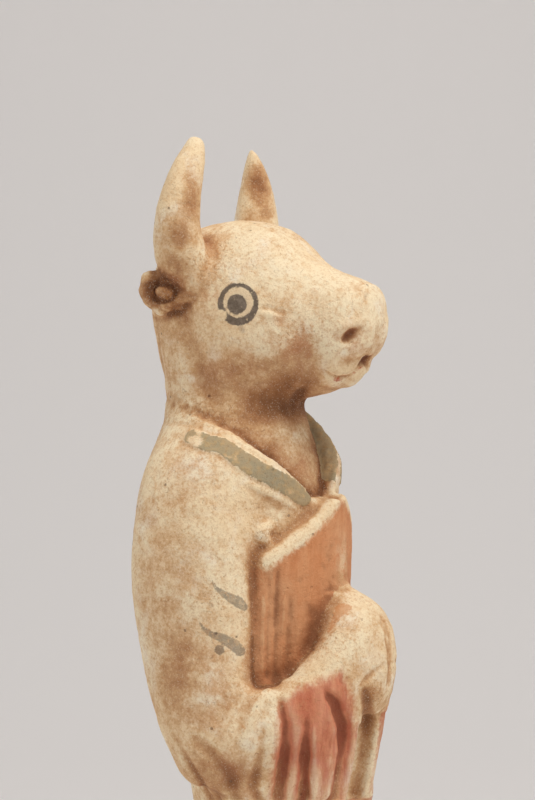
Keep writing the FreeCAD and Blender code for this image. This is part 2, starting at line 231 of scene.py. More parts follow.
def trace(points, step=3.0):
    """The figure points seen at a line of frame positions."""
    p = np.array(points, float)
    seg = np.r_[0, np.cumsum(np.hypot(*np.diff(p, axis=0).T))] if len(p) > 1 else np.array([0.0])
    t = np.linspace(0, seg[-1], max(1, int(seg[-1] / step) + 1)) if len(p) > 1 else np.array([0.0])
    u, v = np.interp(t, seg, p[:, 0]) if len(p) > 1 else p[:, 0], np.interp(t, seg, p[:, 1]) if len(p) > 1 else p[:, 1]
    d = RIGHT * ((u - 267.5) / FPX)[:, None] - UP * ((v - 400) / FPX)[:, None] - TOC
    d /= np.linalg.norm(d, axis=1)[:, None]
    t = np.full(len(d), DIST - 70.0)
    for _ in range(160):
        q = EYE + d * t[:, None]
        t += np.clip(sample(D, q), -2.0, 2.5) * 0.7
    q = EYE + d * t[:, None]
    ok = np.abs(sample(D, q)) < 0.4
    return q[ok]


def flip(p):
    return p * np.array([-1, 1, 1]) if p.shape[1] == 3 else p * np.array([-1, 1, 1, 1])


def line_on(points, r, lift):
    """A chain along frame positions, its centre lifted off the surface by lift."""
    q = trace(points)
    q = q + normal_at(q) * lift
    m = np.isscalar(r)
    rr = np.full(len(q), float(r)) if m else np.interp(np.linspace(0, 1, len(q)), np.linspace(0, 1, len(r)), r)
    return np.c_[q, rr]


def both(c):
    return (c, flip(c))


def carve(c, k=0.8):
    s, T = chain(c, k=0.4, margin=3.0)
    D[s] = smax(D[s], -T, k)


def ridge(c, k=1.5, label=None):
    s, T = chain(c, k=0.4, margin=3.0 + k)
    if label:
        add(s, T, label, k)
    else:
        D[s] = smin(D[s], T, k)


# ------------------------------------------------------------------------------------ main forms
ROBE_ROWS = [
    (3.0, 0, 27.6, 26.1, 23.1, 2.3), (16.0, 0, 26.6, 25.0, 22.0, 2.3), (40.0, 0, 23.8, 21.5, 19.0, 2.3),
    (70.0, 0, 20.8, 18.0, 15.8, 2.3), (100.0, 0, 18.8, 16.2, 13.6, 2.3), (122.0, 0, 18.6, 16.0, 13.4, 2.3),
    (138.0, 0, 21.0, 18.2, 16.5, 2.3), (152.0, 0, 24.0, 21.2, 20.4, 2.3), (170.0, 0, 26.6, 23.4, 24.4, 2.3),
    (188.0, 0, 27.6, 24.2, 26.4, 2.3), (200.0, 0, 27.4, 24.2, 26.6, 2.3), (207.0, 0, 26.6, 24.0, 26.2, 2.3),
    (213.0, 0, 25.0, 23.4, 25.6, 2.25), (219.0, 0, 22.6, 21.8, 24.8, 2.2), (223.0, 0, 20.8, 19.4, 23.6, 2.15),
    (228.0, 0, 19.0, 16.6, 23.2, 2.1), (234.0, 0, 17.6, 14.0, 22.6, 2.1),
]
s_robe, d_robe = up_loft(ROBE_ROWS, cap=3.0, keel=1.75)
add(s_robe, d_robe, ROBE, 0.5)

ARM_ROWS = [
    (130.0, -23.4, 4.0, 6.5, 1.6, 2.2), (133.0, -23.9, 7.0, 10.4, 4.8, 2.2), (140.0, -24.0, 9.6, 13.6, 9.0, 2.3),
    (152.0, -24.0, 10.8, 13.6, 14.2, 2.3), (168.0, -23.8, 11.4, 12.8, 18.2, 2.3), (184.0, -23.6, 11.4, 12.0, 20.8, 2.3),
    (198.0, -22.6, 11.2, 11.0, 20.6, 2.3), (208.0, -20.6, 11.0, 9.6, 19.8, 2.3), (215.0, -17.6, 11.0, 8.4, 18.4, 2.3),
    (220.0, -14.8, 10.0, 6.0, 16.6, 2.2), (224.0, -12.6, 8.0, 3.0, 14.6, 2.2),
]
for side, label in ((1, ARM_R), (-1, ARM_L)):
    s, d = up_loft([(z, side * x, a, f, b, n) for z, x, a, f, b, n in ARM_ROWS], cap=3.0)
    add(s, d, label, 6.0)

# raised skirt front: the robe's own front, thicker inside an outline with a roof-shaped top
PANEL_T = 3.6
PANEL_X, PANEL_SIDE, PANEL_MID = 22.7, 190.8, 207.4
s, x, f, z = window([-27, 4, 140], [27, 31, 212])
t = tuple(slice(s[i].start - s_robe[i].start, s[i].stop - s_robe[i].start) for i in range(3))
slope = math.atan2(PANEL_MID - PANEL_SIDE, PANEL_X)
roof = (z - PANEL_MID + np.abs(x) * math.tan(slope)) * math.cos(slope)
outline = smax(smax(roof, np.abs(x) - PANEL_X, 2.4), 9.0 - f, 0.5)
panel = smax(d_robe[t] - PANEL_T, outline, 1.6)
add(s, panel, PANEL, 1.1)

# the garment ends along an edge round the neck; the neck rises out of it
edge = trace([(172, 404), (190, 413), (205, 420), (229, 432), (244, 441), (262, 452), (280, 464), (293, 475), (304, 486), (310, 497)])
ephi = np.degrees(np.arctan2(edge[:, 1] + 4.0, -edge[:, 0]))
o = np.argsort(ephi)
EDGE_PHI, EDGE_Z = np.r_[-90.0, ephi[o], 90.0], np.r_[edge[o][0, 2] + 1.0, edge[o][:, 2], edge[o][-1, 2] - 1.0]


def edge_height(x, f):
    a = np.degrees(np.arctan2(f + 4.0, np.abs(x)))
    return np.interp(a, EDGE_PHI, EDGE_Z) + 8.0 * step01(x / 8.0) * step01((a - 5.0) / 25.0)


s, x, f, z = window([-30, -32, 192], [30, 30, 246])
above = z - edge_height(x + 0 * f, f + 0 * x)
D[s] = smax(D[s], (above * 0.8).astype(f32), 1.2)

# neck and head
NECK_ROWS = [
    (202.0, 0, 22.0, 20.4, 22.0, 2.1), (210.0, 0, 21.4, 19.6, 23.0, 2.1), (216.0, 0, 20.4, 17.8, 23.4, 2.1),
    (223.0, 0, 19.2, 15.4, 23.2, 2.1), (228.0, 0, 18.4, 13.9, 22.8, 2.1), (234.0, 0, 18.2, 12.6, 23.2, 2.1),
    (242.0, 0, 18.4, 11.0, 24.0, 2.1), (250.0, 0, 17.0, 9.0, 23.4, 2.1),
]
s, d = up_loft(NECK_ROWS, cap=4.0)
add(s, d, HEAD, 0.9)
m = (LAB[s] == HEAD) & (zs[s[2]][None, None, :] < 223.0)
LAB[s][m] = ROBE
HEAD_ROWS = [   # reach, half width, underside, top, squareness
    (-24.6, 6.0, 249.5, 262.0, 2.1), (-23.2, 12.0, 244.5, 268.4, 2.15), (-19.2, 16.6, 239.0, 273.8, 2.2),
    (-11.0, 20.0, 233.0, 277.2, 2.2), (-3.0, 21.4, 229.2, 278.3, 2.2), (6.0, 20.8, 228.8, 277.4, 2.2),
    (12.0, 18.8, 229.6, 275.2, 2.2), (16.5, 16.6, 230.6, 271.4, 2.2), (21.0, 14.6, 231.6, 267.2, 2.25),
    (26.0, 13.2, 232.6, 264.4, 2.35), (31.0, 12.4, 233.4, 262.6, 2.45), (34.4, 11.0, 235.8, 261.2, 2.5),
    (37.0, 8.4, 240.4, 259.2, 2.4), (38.4, 5.2, 245.6, 255.4, 2.3), (38.9, 2.2, 249.0, 252.2, 2.2),
]
s, x, f, z = window([-27, -34, 222], [27, 46, 285])
w, z0, z1, n = [c[None, :, None] for c in cols(HEAD_ROWS, fs[s[1]])]
q = (np.abs(x / w) ** n + np.abs((z - (z0 + z1) / 2) / ((z1 - z0) / 2)) ** n) ** (1 / n)
d = metric(q)
d = smax(smax(d, -24.6 - f, 3.0), f - 38.9, 2.5)
lip = np.interp(z.ravel(), [226, 232.4, 235.2, 237.8, 240.4, 243.0, 245.6, 248.2, 252], [16, 24.5, 30.6, 33.2, 34.2, 36.2, 37.6, 38.8, 40])
d = smax(d, (f - lip.astype(f32)[None, None, :] + 0.035 * x * x) * 0.8, 1.6)
add(s, d, HEAD, 4.0)

# horns
HORN_ROWS_R = [
    (-13.0, -7.6, 259.5, 7.2), (-19.0, -8.2, 264.5, 6.9), (-22.8, -8.4, 270.0, 6.5), (-24.4, -8.2, 276.5, 5.8),
    (-23.8, -7.4, 283.0, 5.0), (-21.8, -6.6, 289.5, 4.1), (-19.8, -6.2, 294.0, 3.2), (-18.9, -6.0, 296.4, 2.6),
]
HORN_ROWS_L = [
    (13.0, -9.8, 259.5, 7.4), (19.0, -10.2, 264.5, 7.4), (22.0, -10.4, 270.0, 7.0), (22.6, -10.4, 276.5, 6.5),
    (22.6, -10.3, 283.0, 5.5), (22.6, -10.3, 288.5, 4.4), (21.7, -10.3, 293.2, 3.2), (20.5, -10.3, 296.8, 1.8),
    (19.6, -10.2, 299.0, 0.7),
]
for rows, label in ((HORN_ROWS_R, HORN_R), (HORN_ROWS_L, HORN_L)):
    s, d = chain(smooth_path(rows, 30), k=0.6)
    add(s, d, label, 2.6)

# ears: a stub with a cup, a broken core in it, and two lips
EC = np.array([-23.5, -12.0, 258.3])
EA = np.array([-0.93, 0.30, 0.10]); EA /= np.linalg.norm(EA)
ER = np.array([0.22, 0.975, 0.0]); ER /= np.linalg.norm(ER)
EU = np.array([0.0, 0.0, 1.0])
ear_base = np.array([np.r_[EC - EA * 7.5, 4.8], np.r_[EC - EA * 2.4, 4.4], np.r_[EC - EA * 0.8, 3.9]])
ear_hole = np.array([np.r_[EC + EA * 3.1 - ER * 1.6, 3.3], np.r_[EC + EA * 3.3 + ER * 1.2, 3.1]])
ear_core = np.array([np.r_[EC - EA * 2.6, 2.7], np.r_[EC + EA * 0.3 + EU * 0.2, 2.5]])
ear_lip_back = np.array([np.r_[EC - ER * 2.2 + EU * 4.6 - EA * 0.9, 1.5], np.r_[EC - ER * 4.6 + EU * 3.6 - EA * 0.4, 2.1],
                         np.r_[EC - ER * 5.4 + EU * 0.8 - EA * 0.2, 1.9], np.r_[EC - ER * 4.4 - EU * 1.8 - EA * 0.6, 1.7],
                         np.r_[EC - ER * 2.2 - EU * 4.0 - EA * 1.6, 1.5]])
ear_lip_front = np.array([np.r_[EC - ER * 0.6 + EU * 4.9 - EA * 0.8, 1.4], np.r_[EC + ER * 3.0 + EU * 4.8 - EA * 0.7, 1.9],
                          np.r_[EC + ER * 6.4 + EU * 4.0 - EA * 1.2, 2.1], np.r_[EC + ER * 7.4 + EU * 1.6 - EA * 1.6, 1.7],
                          np.r_[EC + ER * 5.0 - EU * 1.0 - EA * 1.4, 1.4], np.r_[EC + ER * 3.4 - EU * 3.0 - EA * 1.8, 1.3]])
for side, label in ((False, EAR_R), (True, EAR_L)):
    m = flip if side else (lambda a: a)
    s, d = chain(m(ear_base), k=0.6)
    s2, d2 = chain(m(ear_hole), k=0.6, margin=12.0)
    lo = [max(s[i].start, s2[i].start) for i in range(3)]
    hi = [min(s[i].stop, s2[i].stop) for i in range(3)]
    w = tuple(slice(l, h) for l, h in zip(lo, hi))
    a = d[tuple(slice(w[i].start - s[i].start, w[i].stop - s[i].start) for i in range(3))]
    b = d2[tuple(slice(w[i].start - s2[i].start, w[i].stop - s2[i].start) for i in range(3))]
    add(w, smax(a, -b, 0.7), label, 1.6)
    D[w] = smax(D[w], -b, 0.7)
    for part, k in ((ear_lip_back, 0.9), (ear_lip_front, 1.0), (ear_core, 0.35)):
        s, d = chain(m(part), k=0.8)
        add(s, d, label, k)

# forearms, hands, hanging sleeves
FORE_ROWS = [
    (-27.2, 1.0, 144.0, 8.6, 6.8), (-25.6, 9.4, 145.0, 9.2, 7.6), (-21.0, 18.0, 147.8, 9.6, 8.0),
    (-14.4, 25.6, 153.6, 12.0, 7.8), (-7.0, 30.6, 162.0, 13.6, 7.4), (0.0, 31.8, 164.4, 13.2, 7.2),
]
for side, label in ((1, FORE_R), (-1, FORE_L)):
    s, d = beam([(side * r[0],) + r[1:] for r in FORE_ROWS])
    add(s, d, label, 2.0)
HAND_ROWS = [
    (147.0, 0, 5.0, 36.2, -27.0, 2.2), (150.5, 0, 9.0, 39.2, -24.0, 2.2), (158.0, 0, 11.6, 41.2, -22.0, 2.2),
    (166.0, 0, 11.8, 41.2, -21.5, 2.2), (172.0, 0, 10.4, 39.6, -22.0, 2.2), (176.0, 0, 8.0, 36.8, -23.0, 2.2),
    (178.6, 0, 5.4, 33.4, -24.0, 2.2), (181.0, 0, 2.8, 30.4, -25.0, 2.2),
]
s, d = up_loft(HAND_ROWS, cap=1.5)
add(s, d, HANDS, 3.6)

DRAPE_ROWS = [
    (70.0, -12.6, 6.0, 13.6, 4.4), (76.0, -13.2, 7.8, 14.2, 5.4), (95.0, -14.2, 9.6, 15.4, 6.4),
    (115.0, -15.2, 11.0, 17.2, 7.0), (132.0, -16.0, 12.2, 19.4, 7.4), (146.0, -16.6, 12.8, 21.0, 7.6),
    (156.0, -16.2, 12.0, 21.6, 7.0),
]
TURN = math.radians(50.0)


def drape_point(w, z, lift=0.0):
    """A point on the outside of the right hanging sleeve, w from -1 (outer back) to 1 (centre front)."""
    cx, hw, cf, hd = [float(c[0]) for c in cols(DRAPE_ROWS, np.array([z]))]
    u, v = 1.35 * hw * w, hd * (1 - abs(w) ** 2.6) ** (1 / 2.6) + lift
    return [cx + u * math.cos(TURN) - v * math.sin(TURN), cf + u * math.sin(TURN) + v * math.cos(TURN), z]


s, x, f, z = window([-40, -8, 63], [-0.2, 44, 163])
cx, hw, cf, hd = cols(DRAPE_ROWS, zs[s[2]])
u = (x - cx) * math.cos(TURN) + (f - cf) * math.sin(TURN)
v = -(x - cx) * math.sin(TURN) + (f - cf) * math.cos(TURN)
q = (np.abs(u / (hw * 1.35)) ** 2.6 + np.abs(v / hd) ** 2.6) ** (1 / 2.6)
d = smax(smax(metric(q), 70.0 - z, 3.0), z - 157.0, 3.0)
ms = (slice(SHAPE[0] - s[0].stop, SHAPE[0] - s[0].start), s[1], s[2])
add(s, d, DRAPE_R, 4.0)
add(ms, d[::-1], DRAPE_L, 4.0)

SHOE_ROWS = [
    (3.0, -10.5, 7.2, 35.6, -14.0, 2.4), (9.0, -10.5, 7.8, 37.0, -14.0, 2.4), (13.0, -10.5, 6.8, 36.6, -14.0, 2.3),
    (16.0, -10.5, 4.6, 34.4, -15.0, 2.2), (17.4, -10.5, 2.4, 31.6, -17.0, 2.2),
]
for side, label in ((1, SHOE_R), (-1, SHOE_L)):
    s, d = up_loft([(z, side * x, a, f, b, n) for z, x, a, f, b, n in SHOE_ROWS], cap=1.5)
    add(s, d, label, 1.2)

# ------------------------------------------------------------------------------------ details
# collar bands, slightly raised
collar_line = trace([(193, 437), (207, 443), (222, 446), (240, 459), (262, 472), (285, 484), (304, 497)])
for side, label in ((False, COLLAR_R), (True, COLLAR_L)):
    c = np.c_[collar_line, np.full(len(collar_line), 2.55)]
    c = flip(c) + [0, 0, 4.0, 0] if side else c
    s, T = chain(c, k=0.3, margin=2.5)
    add(s, smax(D[s] - 0.45, T, 0.5), label, 0.3)
for c in both(line_on([(243, 482), (262, 490), (283, 500), (300, 511)], [0.3, 0.9, 0.9, 0.4], -0.5)):
    ridge(c, 0.8)

# skirt front: pleats and the little knot at its upper corner
for c in both(line_on([(278, 572), (277, 600), (277, 640), (276, 684)], [0.6, 1.4, 1.5, 1.2], 0.45)):
    carve(c, 0.9)
for c in both(line_on([(269, 582), (269, 620), (268, 676)], [0.5, 1.0, 0.9], 0.25)):
    carve(c, 0.7)
for c in both(line_on([(291, 596), (290, 635), (288, 672)], [0.6, 1.8, 1.5], 0.9)):
    carve(c, 1.4)
for c in both(line_on([(269, 526), (263, 531), (262, 538), (268, 543)], [1.2, 1.9, 1.9, 1.3], -0.4)):
    ridge(c, 1.2)

# hanging sleeves: folds that run on down to the hem
def fold(points, w_end, r, lift, k, way):
    c = line_on(points, r, lift)
    low = c[np.argmin(c[:, 2])]
    rr = low[3]
    tail = [drape_point(w, zz, lift) + [rr * g] for w, zz, g in
            zip(np.linspace(w_end[0], w_end[1], 7), np.linspace(low[2] - 4, 68.0, 7), np.linspace(1, 0.8, 7))]
    for q in both(np.vstack([c[c[:, 2] > low[2] - 0.1], tail])):
        way(q, k)


fold([(263, 728), (260, 757), (253, 790)], (-0.50, -0.45), [0.4, 1.0, 1.1], 0.5, 1.2, carve)
fold([(281, 702), (286, 725), (286, 750), (283, 776), (279, 798)], (-0.20, -0.20), [0.6, 1.3, 1.5, 1.6, 1.6], 0.2, 1.4, carve)
fold([(307, 722), (306, 760), (305, 798)], (0.12, 0.08), [0.6, 1.9, 2.1], 0.7, 1.4, carve)
fold([(314, 728), (314, 760), (313, 798)], (0.24, 0.20), [0.3, 0.8, 0.8], -0.3, 1.2, lambda c, k: ridge(c, k))
fold([(326, 692), (336, 705), (345, 728), (347, 750), (343, 775), (338, 798)], (0.56, 0.50), [0.5, 1.5, 2.0, 2.1, 2.1, 2.0], 0.1, 1.6, carve)
fold([(365, 692), (368, 712), (367, 735), (362, 765), (355, 795)], (0.97, 0.95), [0.5, 1.6, 1.9, 2.0, 2.0], 0.3, 1.6, carve)

# crest of the cuff, creases of the elbow and of the covered hands
for c in both(line_on([(268, 690), (257, 706), (247, 730), (242, 745)], [0.5, 0.9, 0.9, 0.4], -0.45)):
    ridge(c, 1.6)
for c in both(line_on([(251, 700), (243, 722), (237, 748)], [0.5, 1.6, 0.8], 1.1)):
    carve(c, 1.8)
for c in both(line_on([(174, 735), (182, 752), (196, 775), (212, 800)], [0.4, 0.9, 1.0, 0.9], 0.5)):
    carve(c, 1.0)
for c in both(line_on([(192, 738), (210, 752), (228, 775), (236, 800)], [0.5, 1.5, 1.8, 1.5], 1.0)):
    carve(c, 1.6)
for c in both(line_on([(386, 664), (376, 671), (363, 683)], [0.3, 0.8, 0.6], 0.4)):
    carve(c, 0.8)
for c in both(line_on([(377, 612), (386, 622), (391, 640), (392, 662), (388, 685)], [0.4, 0.8, 0.9, 0.9, 0.6], 0.35)):
    carve(c, 0.8)

# head: jaw valley behind the cheek, hollow behind the muzzle, eye, nostril, mouth
for c in both(line_on([(184, 318), (190, 345), (200, 372), (214, 398)], [2.0, 3.6, 4.0, 2.5], 2.9)):
    carve(c, 3.0)
for c in both(line_on([(306, 336), (310, 356), (311, 380)], [2.0, 4.4, 3.0], 3.9)):
    carve(c, 3.5)
for c in both(line_on([(237.5, 302), (238.0, 303)], 3.9, -3.35)):
    ridge(c, 0.8)
for c in both(line_on([(261, 309), (268, 309), (276, 312), (284, 313)], [0.5, 0.5, 0.45, 0.3], 0.25)):
    carve(c, 0.5)
for c in both(line_on([(262, 314), (270, 315), (278, 317)], [0.6, 0.9, 0.5], -0.75)):
    ridge(c, 1.2)
for c in both(line_on([(366, 322), (371, 331), (368, 343), (359, 351), (348, 352)], [0.8, 1.6, 1.8, 1.5, 0.8], -1.5)):
    ridge(c, 2.0)
for c in both(line_on([(338, 330), (348, 326), (358, 323)], [0.7, 1.3, 0.8], -1.0)):
    ridge(c, 2.0)
for c in both(line_on([(346, 340), (349, 338), (352, 335), (356, 332), (361, 329)], [1.3, 1.75, 1.6, 1.0, 0.5], 0.1)):
    carve(c, 0.7)
for c in both(line_on([(326, 371), (331, 376), (338, 379), (346, 377), (354, 372), (362, 365), (369, 360)], [0.5, 0.8, 0.95, 1.0, 1.1, 1.3, 1.4], 0.15)):
    carve(c, 0.6)
for c in both(line_on([(330, 385), (341, 386), (352, 382), (362, 373), (368, 366)], [0.8, 1.5, 1.7, 1.6, 1.1], -1.15)):
    ridge(c, 1.5)
for c in both(line_on([(304, 389), (299, 394), (295, 401)], [0.6, 1.2, 1.2], 0.6)):
    carve(c, 1.6)

# ------------------------------------------------------------------------------------ surface
def blur(A, r):
    n = max(1, int(round(r / H)))
    for ax in range(3):
        for _ in range(2):
            B = np.moveaxis(A, ax, 0)
            P = np.concatenate([np.repeat(B[:1], n + 1, 0), B, np.repeat(B[-1:], n, 0)])
            C = np.cumsum(P, axis=0, dtype=f32)
            A = np.moveaxis((C[2 * n + 1:] - C[:-2 * n - 1]) / (2 * n + 1), 0, ax)
    return A


RD = np.full(SHAPE, 20.0, f32)
RD[s_robe] = d_robe
DC = np.clip(D, -6, 6)
BL1, BL2 = blur(DC, 0.9), blur(DC, 3.2)

CORNERS = [(0, 0, 0), (1, 0, 0), (0, 1, 0), (1, 1, 0), (0, 0, 1), (1, 0, 1), (0, 1, 1), (1, 1, 1)]
EDGES = [(0, 1), (2, 3), (4, 5), (6, 7), (0, 2), (1, 3), (4, 6), (5, 7), (0, 4), (1, 5), (2, 6), (3, 7)]


def surface_nets(A, origin):
    return surface_nets_at(A, origin, H)


def surface_nets_at(A, origin, step):
    S = A < 0
    n = np.zeros([k - 1 for k in A.shape], np.uint8)
    for c in CORNERS:
        n += S[tuple(slice(c[a], A.shape[a] - 1 + c[a]) for a in range(3))]
    act = (n > 0) & (n < 8)
    ijk = np.argwhere(act)
    idx = np.full(act.shape, -1, np.int32)
    idx[act] = np.arange(len(ijk))
    val = [A[ijk[:, 0] + c[0], ijk[:, 1] + c[1], ijk[:, 2] + c[2]] for c in CORNERS]
    pos, cnt = np.zeros((len(ijk), 3)), np.zeros(len(ijk))
    for a, b in EDGES:
        m = (val[a] < 0) != (val[b] < 0)
        t = np.where(m, val[a] / np.where(m, val[a] - val[b], 1), 0)
        ca, cb = np.array(CORNERS[a]), np.array(CORNERS[b])
        pos += np.where(m[:, None], ca + t[:, None] * (cb - ca), 0)
        cnt += m
    pos = (pos / cnt[:, None] + ijk) * step + np.array(origin)
    quads = []
    for ax in range(3):
        a1, a2 = (ax + 1) % 3, (ax + 2) % 3
        sl0 = [slice(None)] * 3
        sl1 = [slice(None)] * 3
        sl0[ax], sl1[ax] = slice(0, -1), slice(1, None)
        for a in (a1, a2):
            sl0[a] = sl1[a] = slice(1, -1)
        p, q = S[tuple(sl0)], S[tuple(sl1)]
        e = np.argwhere(p != q)
        inside_first = p[tuple(e.T)]
        e[:, a1] += 1
        e[:, a2] += 1
        ring = []
        for o1, o2 in ((-1, -1), (0, -1), (0, 0), (-1, 0)):
            c = e.copy()
            c[:, a1] += o1
            c[:, a2] += o2
            ring.append(idx[tuple(c.T)])
        ring = np.stack(ring, 1)
        ring[~inside_first] = ring[~inside_first][:, ::-1]
        quads.append(ring)
    return pos, np.concatenate(quads)


def tri_normals(V, Q):
    a, b, c, d = V[Q[:, 0]], V[Q[:, 1]], V[Q[:, 2]], V[Q[:, 3]]
    return np.cross(c - a, d - b)


def vertex_normals(V, Q):
    fn = tri_normals(V, Q)
    N = np.zeros_like(V)
    for k in range(4):
        for a in range(3):
            N[:, a] += np.bincount(Q[:, k], fn[:, a], len(V))
    return N / (np.linalg.norm(N, axis=1)[:, None] + 1e-12)


V, Q = surface_nets(D, (xs[0], fs[0], zs[0]))
# keep the biggest connected surface
e = np.concatenate([Q[:, [0, 1]], Q[:, [1, 2]], Q[:, [2, 3]], Q[:, [3, 0]]])


def components(n, pairs):
    lab = np.arange(n)
    while True:
        new = lab.copy()
        np.minimum.at(new, pairs[:, 0], lab[pairs[:, 1]])
        np.minimum.at(new, pairs[:, 1], lab[pairs[:, 0]])
        new = new[new]
        new = new[new]
        if (new == lab).all():
            return lab
        lab = new


comp = components(len(V), e)
big = np.bincount(comp).argmax()
Q = Q[comp[Q[:, 0]] == big]
Q = Q[V[Q][:, :, 2].mean(1) > 6.1]
used = np.unique(Q)
remap = np.full(len(V), -1)
remap[used] = np.arange(len(used))
V, Q = V[used], remap[Q]

# project onto the zero level
for _ in range(2):
    V = V - normal_at(V, H) * np.clip(sample(D, V), -0.3, 0.3)[:, None]

PERM = np.random.default_rng(11).permutation(256)
GRAD = np.random.default_rng(12).normal(size=(256, 3))
GRAD /= np.linalg.norm(GRAD, axis=1)[:, None]


def perlin(p):
    i = np.floor(p).astype(int)
    t = p - i
    w = t * t * t * (t * (t * 6 - 15) + 10)
    out = 0
    for dx in (0, 1):
        for dy in (0, 1):
            for dz in (0, 1):
                h = PERM[(PERM[(PERM[(i[:, 0] + dx) & 255] + i[:, 1] + dy) & 255] + i[:, 2] + dz) & 255]
                g = GRAD[h]
                dot = g[:, 0] * (t[:, 0] - dx) + g[:, 1] * (t[:, 1] - dy) + g[:, 2] * (t[:, 2] - dz)
                out = out + (w[:, 0] if dx else 1 - w[:, 0]) * (w[:, 1] if dy else 1 - w[:, 1]) * (w[:, 2] if dz else 1 - w[:, 2]) * dot
    return out


def fbm(p, wave, octaves=3, gain=0.5):
    out, amp = 0, 1.0
    for k in range(octaves):
        out = out + amp * perlin(p / wave + 17.3 * k)
        wave, amp = wave / 2.03, amp * gain
    return out


N0 = vertex_normals(V, Q)
lab_v = LAB[tuple(np.clip(np.rint((V - [xs[0], fs[0], zs[0]]) / H).astype(int), 0, np.array(SHAPE) - 1).T)]

# visible-side mirror: everything painted on the right side is painted on the left as well
near = V * np.where(V[:, :1] > 0, [-1, 1, 1], [1, 1, 1])
near_n = N0 * np.where(V[:, :1] > 0, [-1, 1, 1], [1, 1, 1])
pu, pv, pz = project(near)
ru, rv, rz = project(V)


def depth_map(u, v, z):
    zb = np.full((810, 545), 1e9)
    ui, vi = np.clip(u.astype(int), 0, 544), np.clip(v.astype(int), 0, 809)
    for dx in (-1, 0, 1, 2):
        for dy in (-1, 0, 1, 2):
            np.minimum.at(zb, (np.clip(vi + dy, 0, 809), np.clip(ui + dx, 0, 544)), z)
    return zb


ZB = depth_map(ru[V[:, 0] < 1], rv[V[:, 0] < 1], rz[V[:, 0] < 1])
seen = (pz < ZB[np.clip(pv.astype(int), 0, 809), np.clip(pu.astype(int), 0, 544)] + 3.0) & (near_n @ TOC > 0.02) & (pv < 812)

above_v = V[:, 2] - edge_height(V[:, 0], V[:, 1])
low = step01((118 - V[:, 2]) / 60)
ang = np.arctan2(V[:, 1], V[:, 0])
flute = (lab_v == ROBE) * low * (0.75 * np.cos(ang * 9 + 0.6 * np.sin(V[:, 2] / 23.0)) + 0.3 * np.cos(ang * 17 + 2.0))
relief = 0.26 * fbm(V, 16.0, 2) + 0.20 * fbm(V + 40, 6.0, 2) + 0.11 * fbm(V + 90, 2.4, 2)
grain = np.maximum(fbm(V + 7, 1.7, 2), 0.12) * 0.16
rough = np.exp(-np.linalg.norm(near - EC, axis=1) ** 2 / 60.0) + 0.5 * np.exp(-(V[:, 2] - edge_height(V[:, 0], V[:, 1])) ** 2 / 9.0) * (V[:, 2] > 195)
relief = relief + rough * (0.75 * fbm(V + 200, 3.2, 2) + 0.45 * fbm(V + 230, 1.4, 2))
V = V + N0 * (relief - grain + 0.6 * flute)[:, None]
N1 = vertex_normals(V, Q)

# ------------------------------------------------------------------------------------ paint, dirt and painted shade fields
cav = sample(BL1, V)                    # + on convex edges, - in creases, fine
cavl = sample(BL2, V)                   # the same, broad
# occlusion sampled from the solid; the material paints it into the colour as shade
occ = np.zeros(len(V))
for dist, wt in ((2.0, 1.0), (5.0, 0.8), (10.0, 0.55), (18.0, 0.35)):
    dd = np.minimum(sample(D, V + N1 * dist), dist)
    occ += wt * np.clip((dist - dd) / dist, 0, 1.5)
occ /= 2.7


def seg_dist(u, v, pts, grow=None):
    """Signed distance, in mm and + inside, of (u, v) to a stroke of frame points (x, y, half width)."""
    best = np.full(len(u), 99.0)
    for a, b in zip(pts[:-1], pts[1:]):
        ax, ay, ar = a
        bx, by, br = b
        L2 = max((bx - ax) ** 2 + (by - ay) ** 2, 1e-9)
        t = np.clip(((u - ax) * (bx - ax) + (v - ay) * (by - ay)) / L2, 0, 1)
        best = np.minimum(best, np.hypot(u - ax - t * (bx - ax), v - ay - t * (by - ay)) - (ar + (br - ar) * t))
    return -best * MMPX


def in_poly(u, v, poly):
    """Signed distance in mm, + inside a polygon of frame points."""
    p = np.array(poly, float)
    best, inside = np.full(len(u), 1e9), np.zeros(len(u), bool)
    for (ax, ay), (bx, by) in zip(p, np.roll(p, -1, 0)):
        t = np.clip(((u - ax) * (bx - ax) + (v - ay) * (by - ay)) / ((bx - ax) ** 2 + (by - ay) ** 2), 0, 1)
        best = np.minimum(best, np.hypot(u - ax - t * (bx - ax), v - ay - t * (by - ay)))
        c = (ay > v) != (by > v)
        inside ^= c & (u < (bx - ax) * (v - ay) / np.where(by == ay, 1, by - ay) + ax)
    return np.where(inside, best, -best) * MMPX


def ellipse(u, v, cx, cy, rx, ry, tilt=0.0):
    a = math.radians(tilt)
    x, y = (u - cx) * math.cos(a) + (v - cy) * math.sin(a), -(u - cx) * math.sin(a) + (v - cy) * math.cos(a)
    return (1 - np.hypot(x / rx, y / ry)) * min(rx, ry) * MMPX


def blobs(u, v, rows):
    out = np.zeros(len(u))
    for cx, cy, rx, ry, w in rows:
        out = np.maximum(out, w * np.exp(-(((u - cx) / rx) ** 2 + ((v - cy) / ry) ** 2)))
    return out


off = np.full(len(V), -5.0)
wob = 0.9 * fbm(V + 30, 3.0, 2)       # handmade wobble of painted outlines, mm

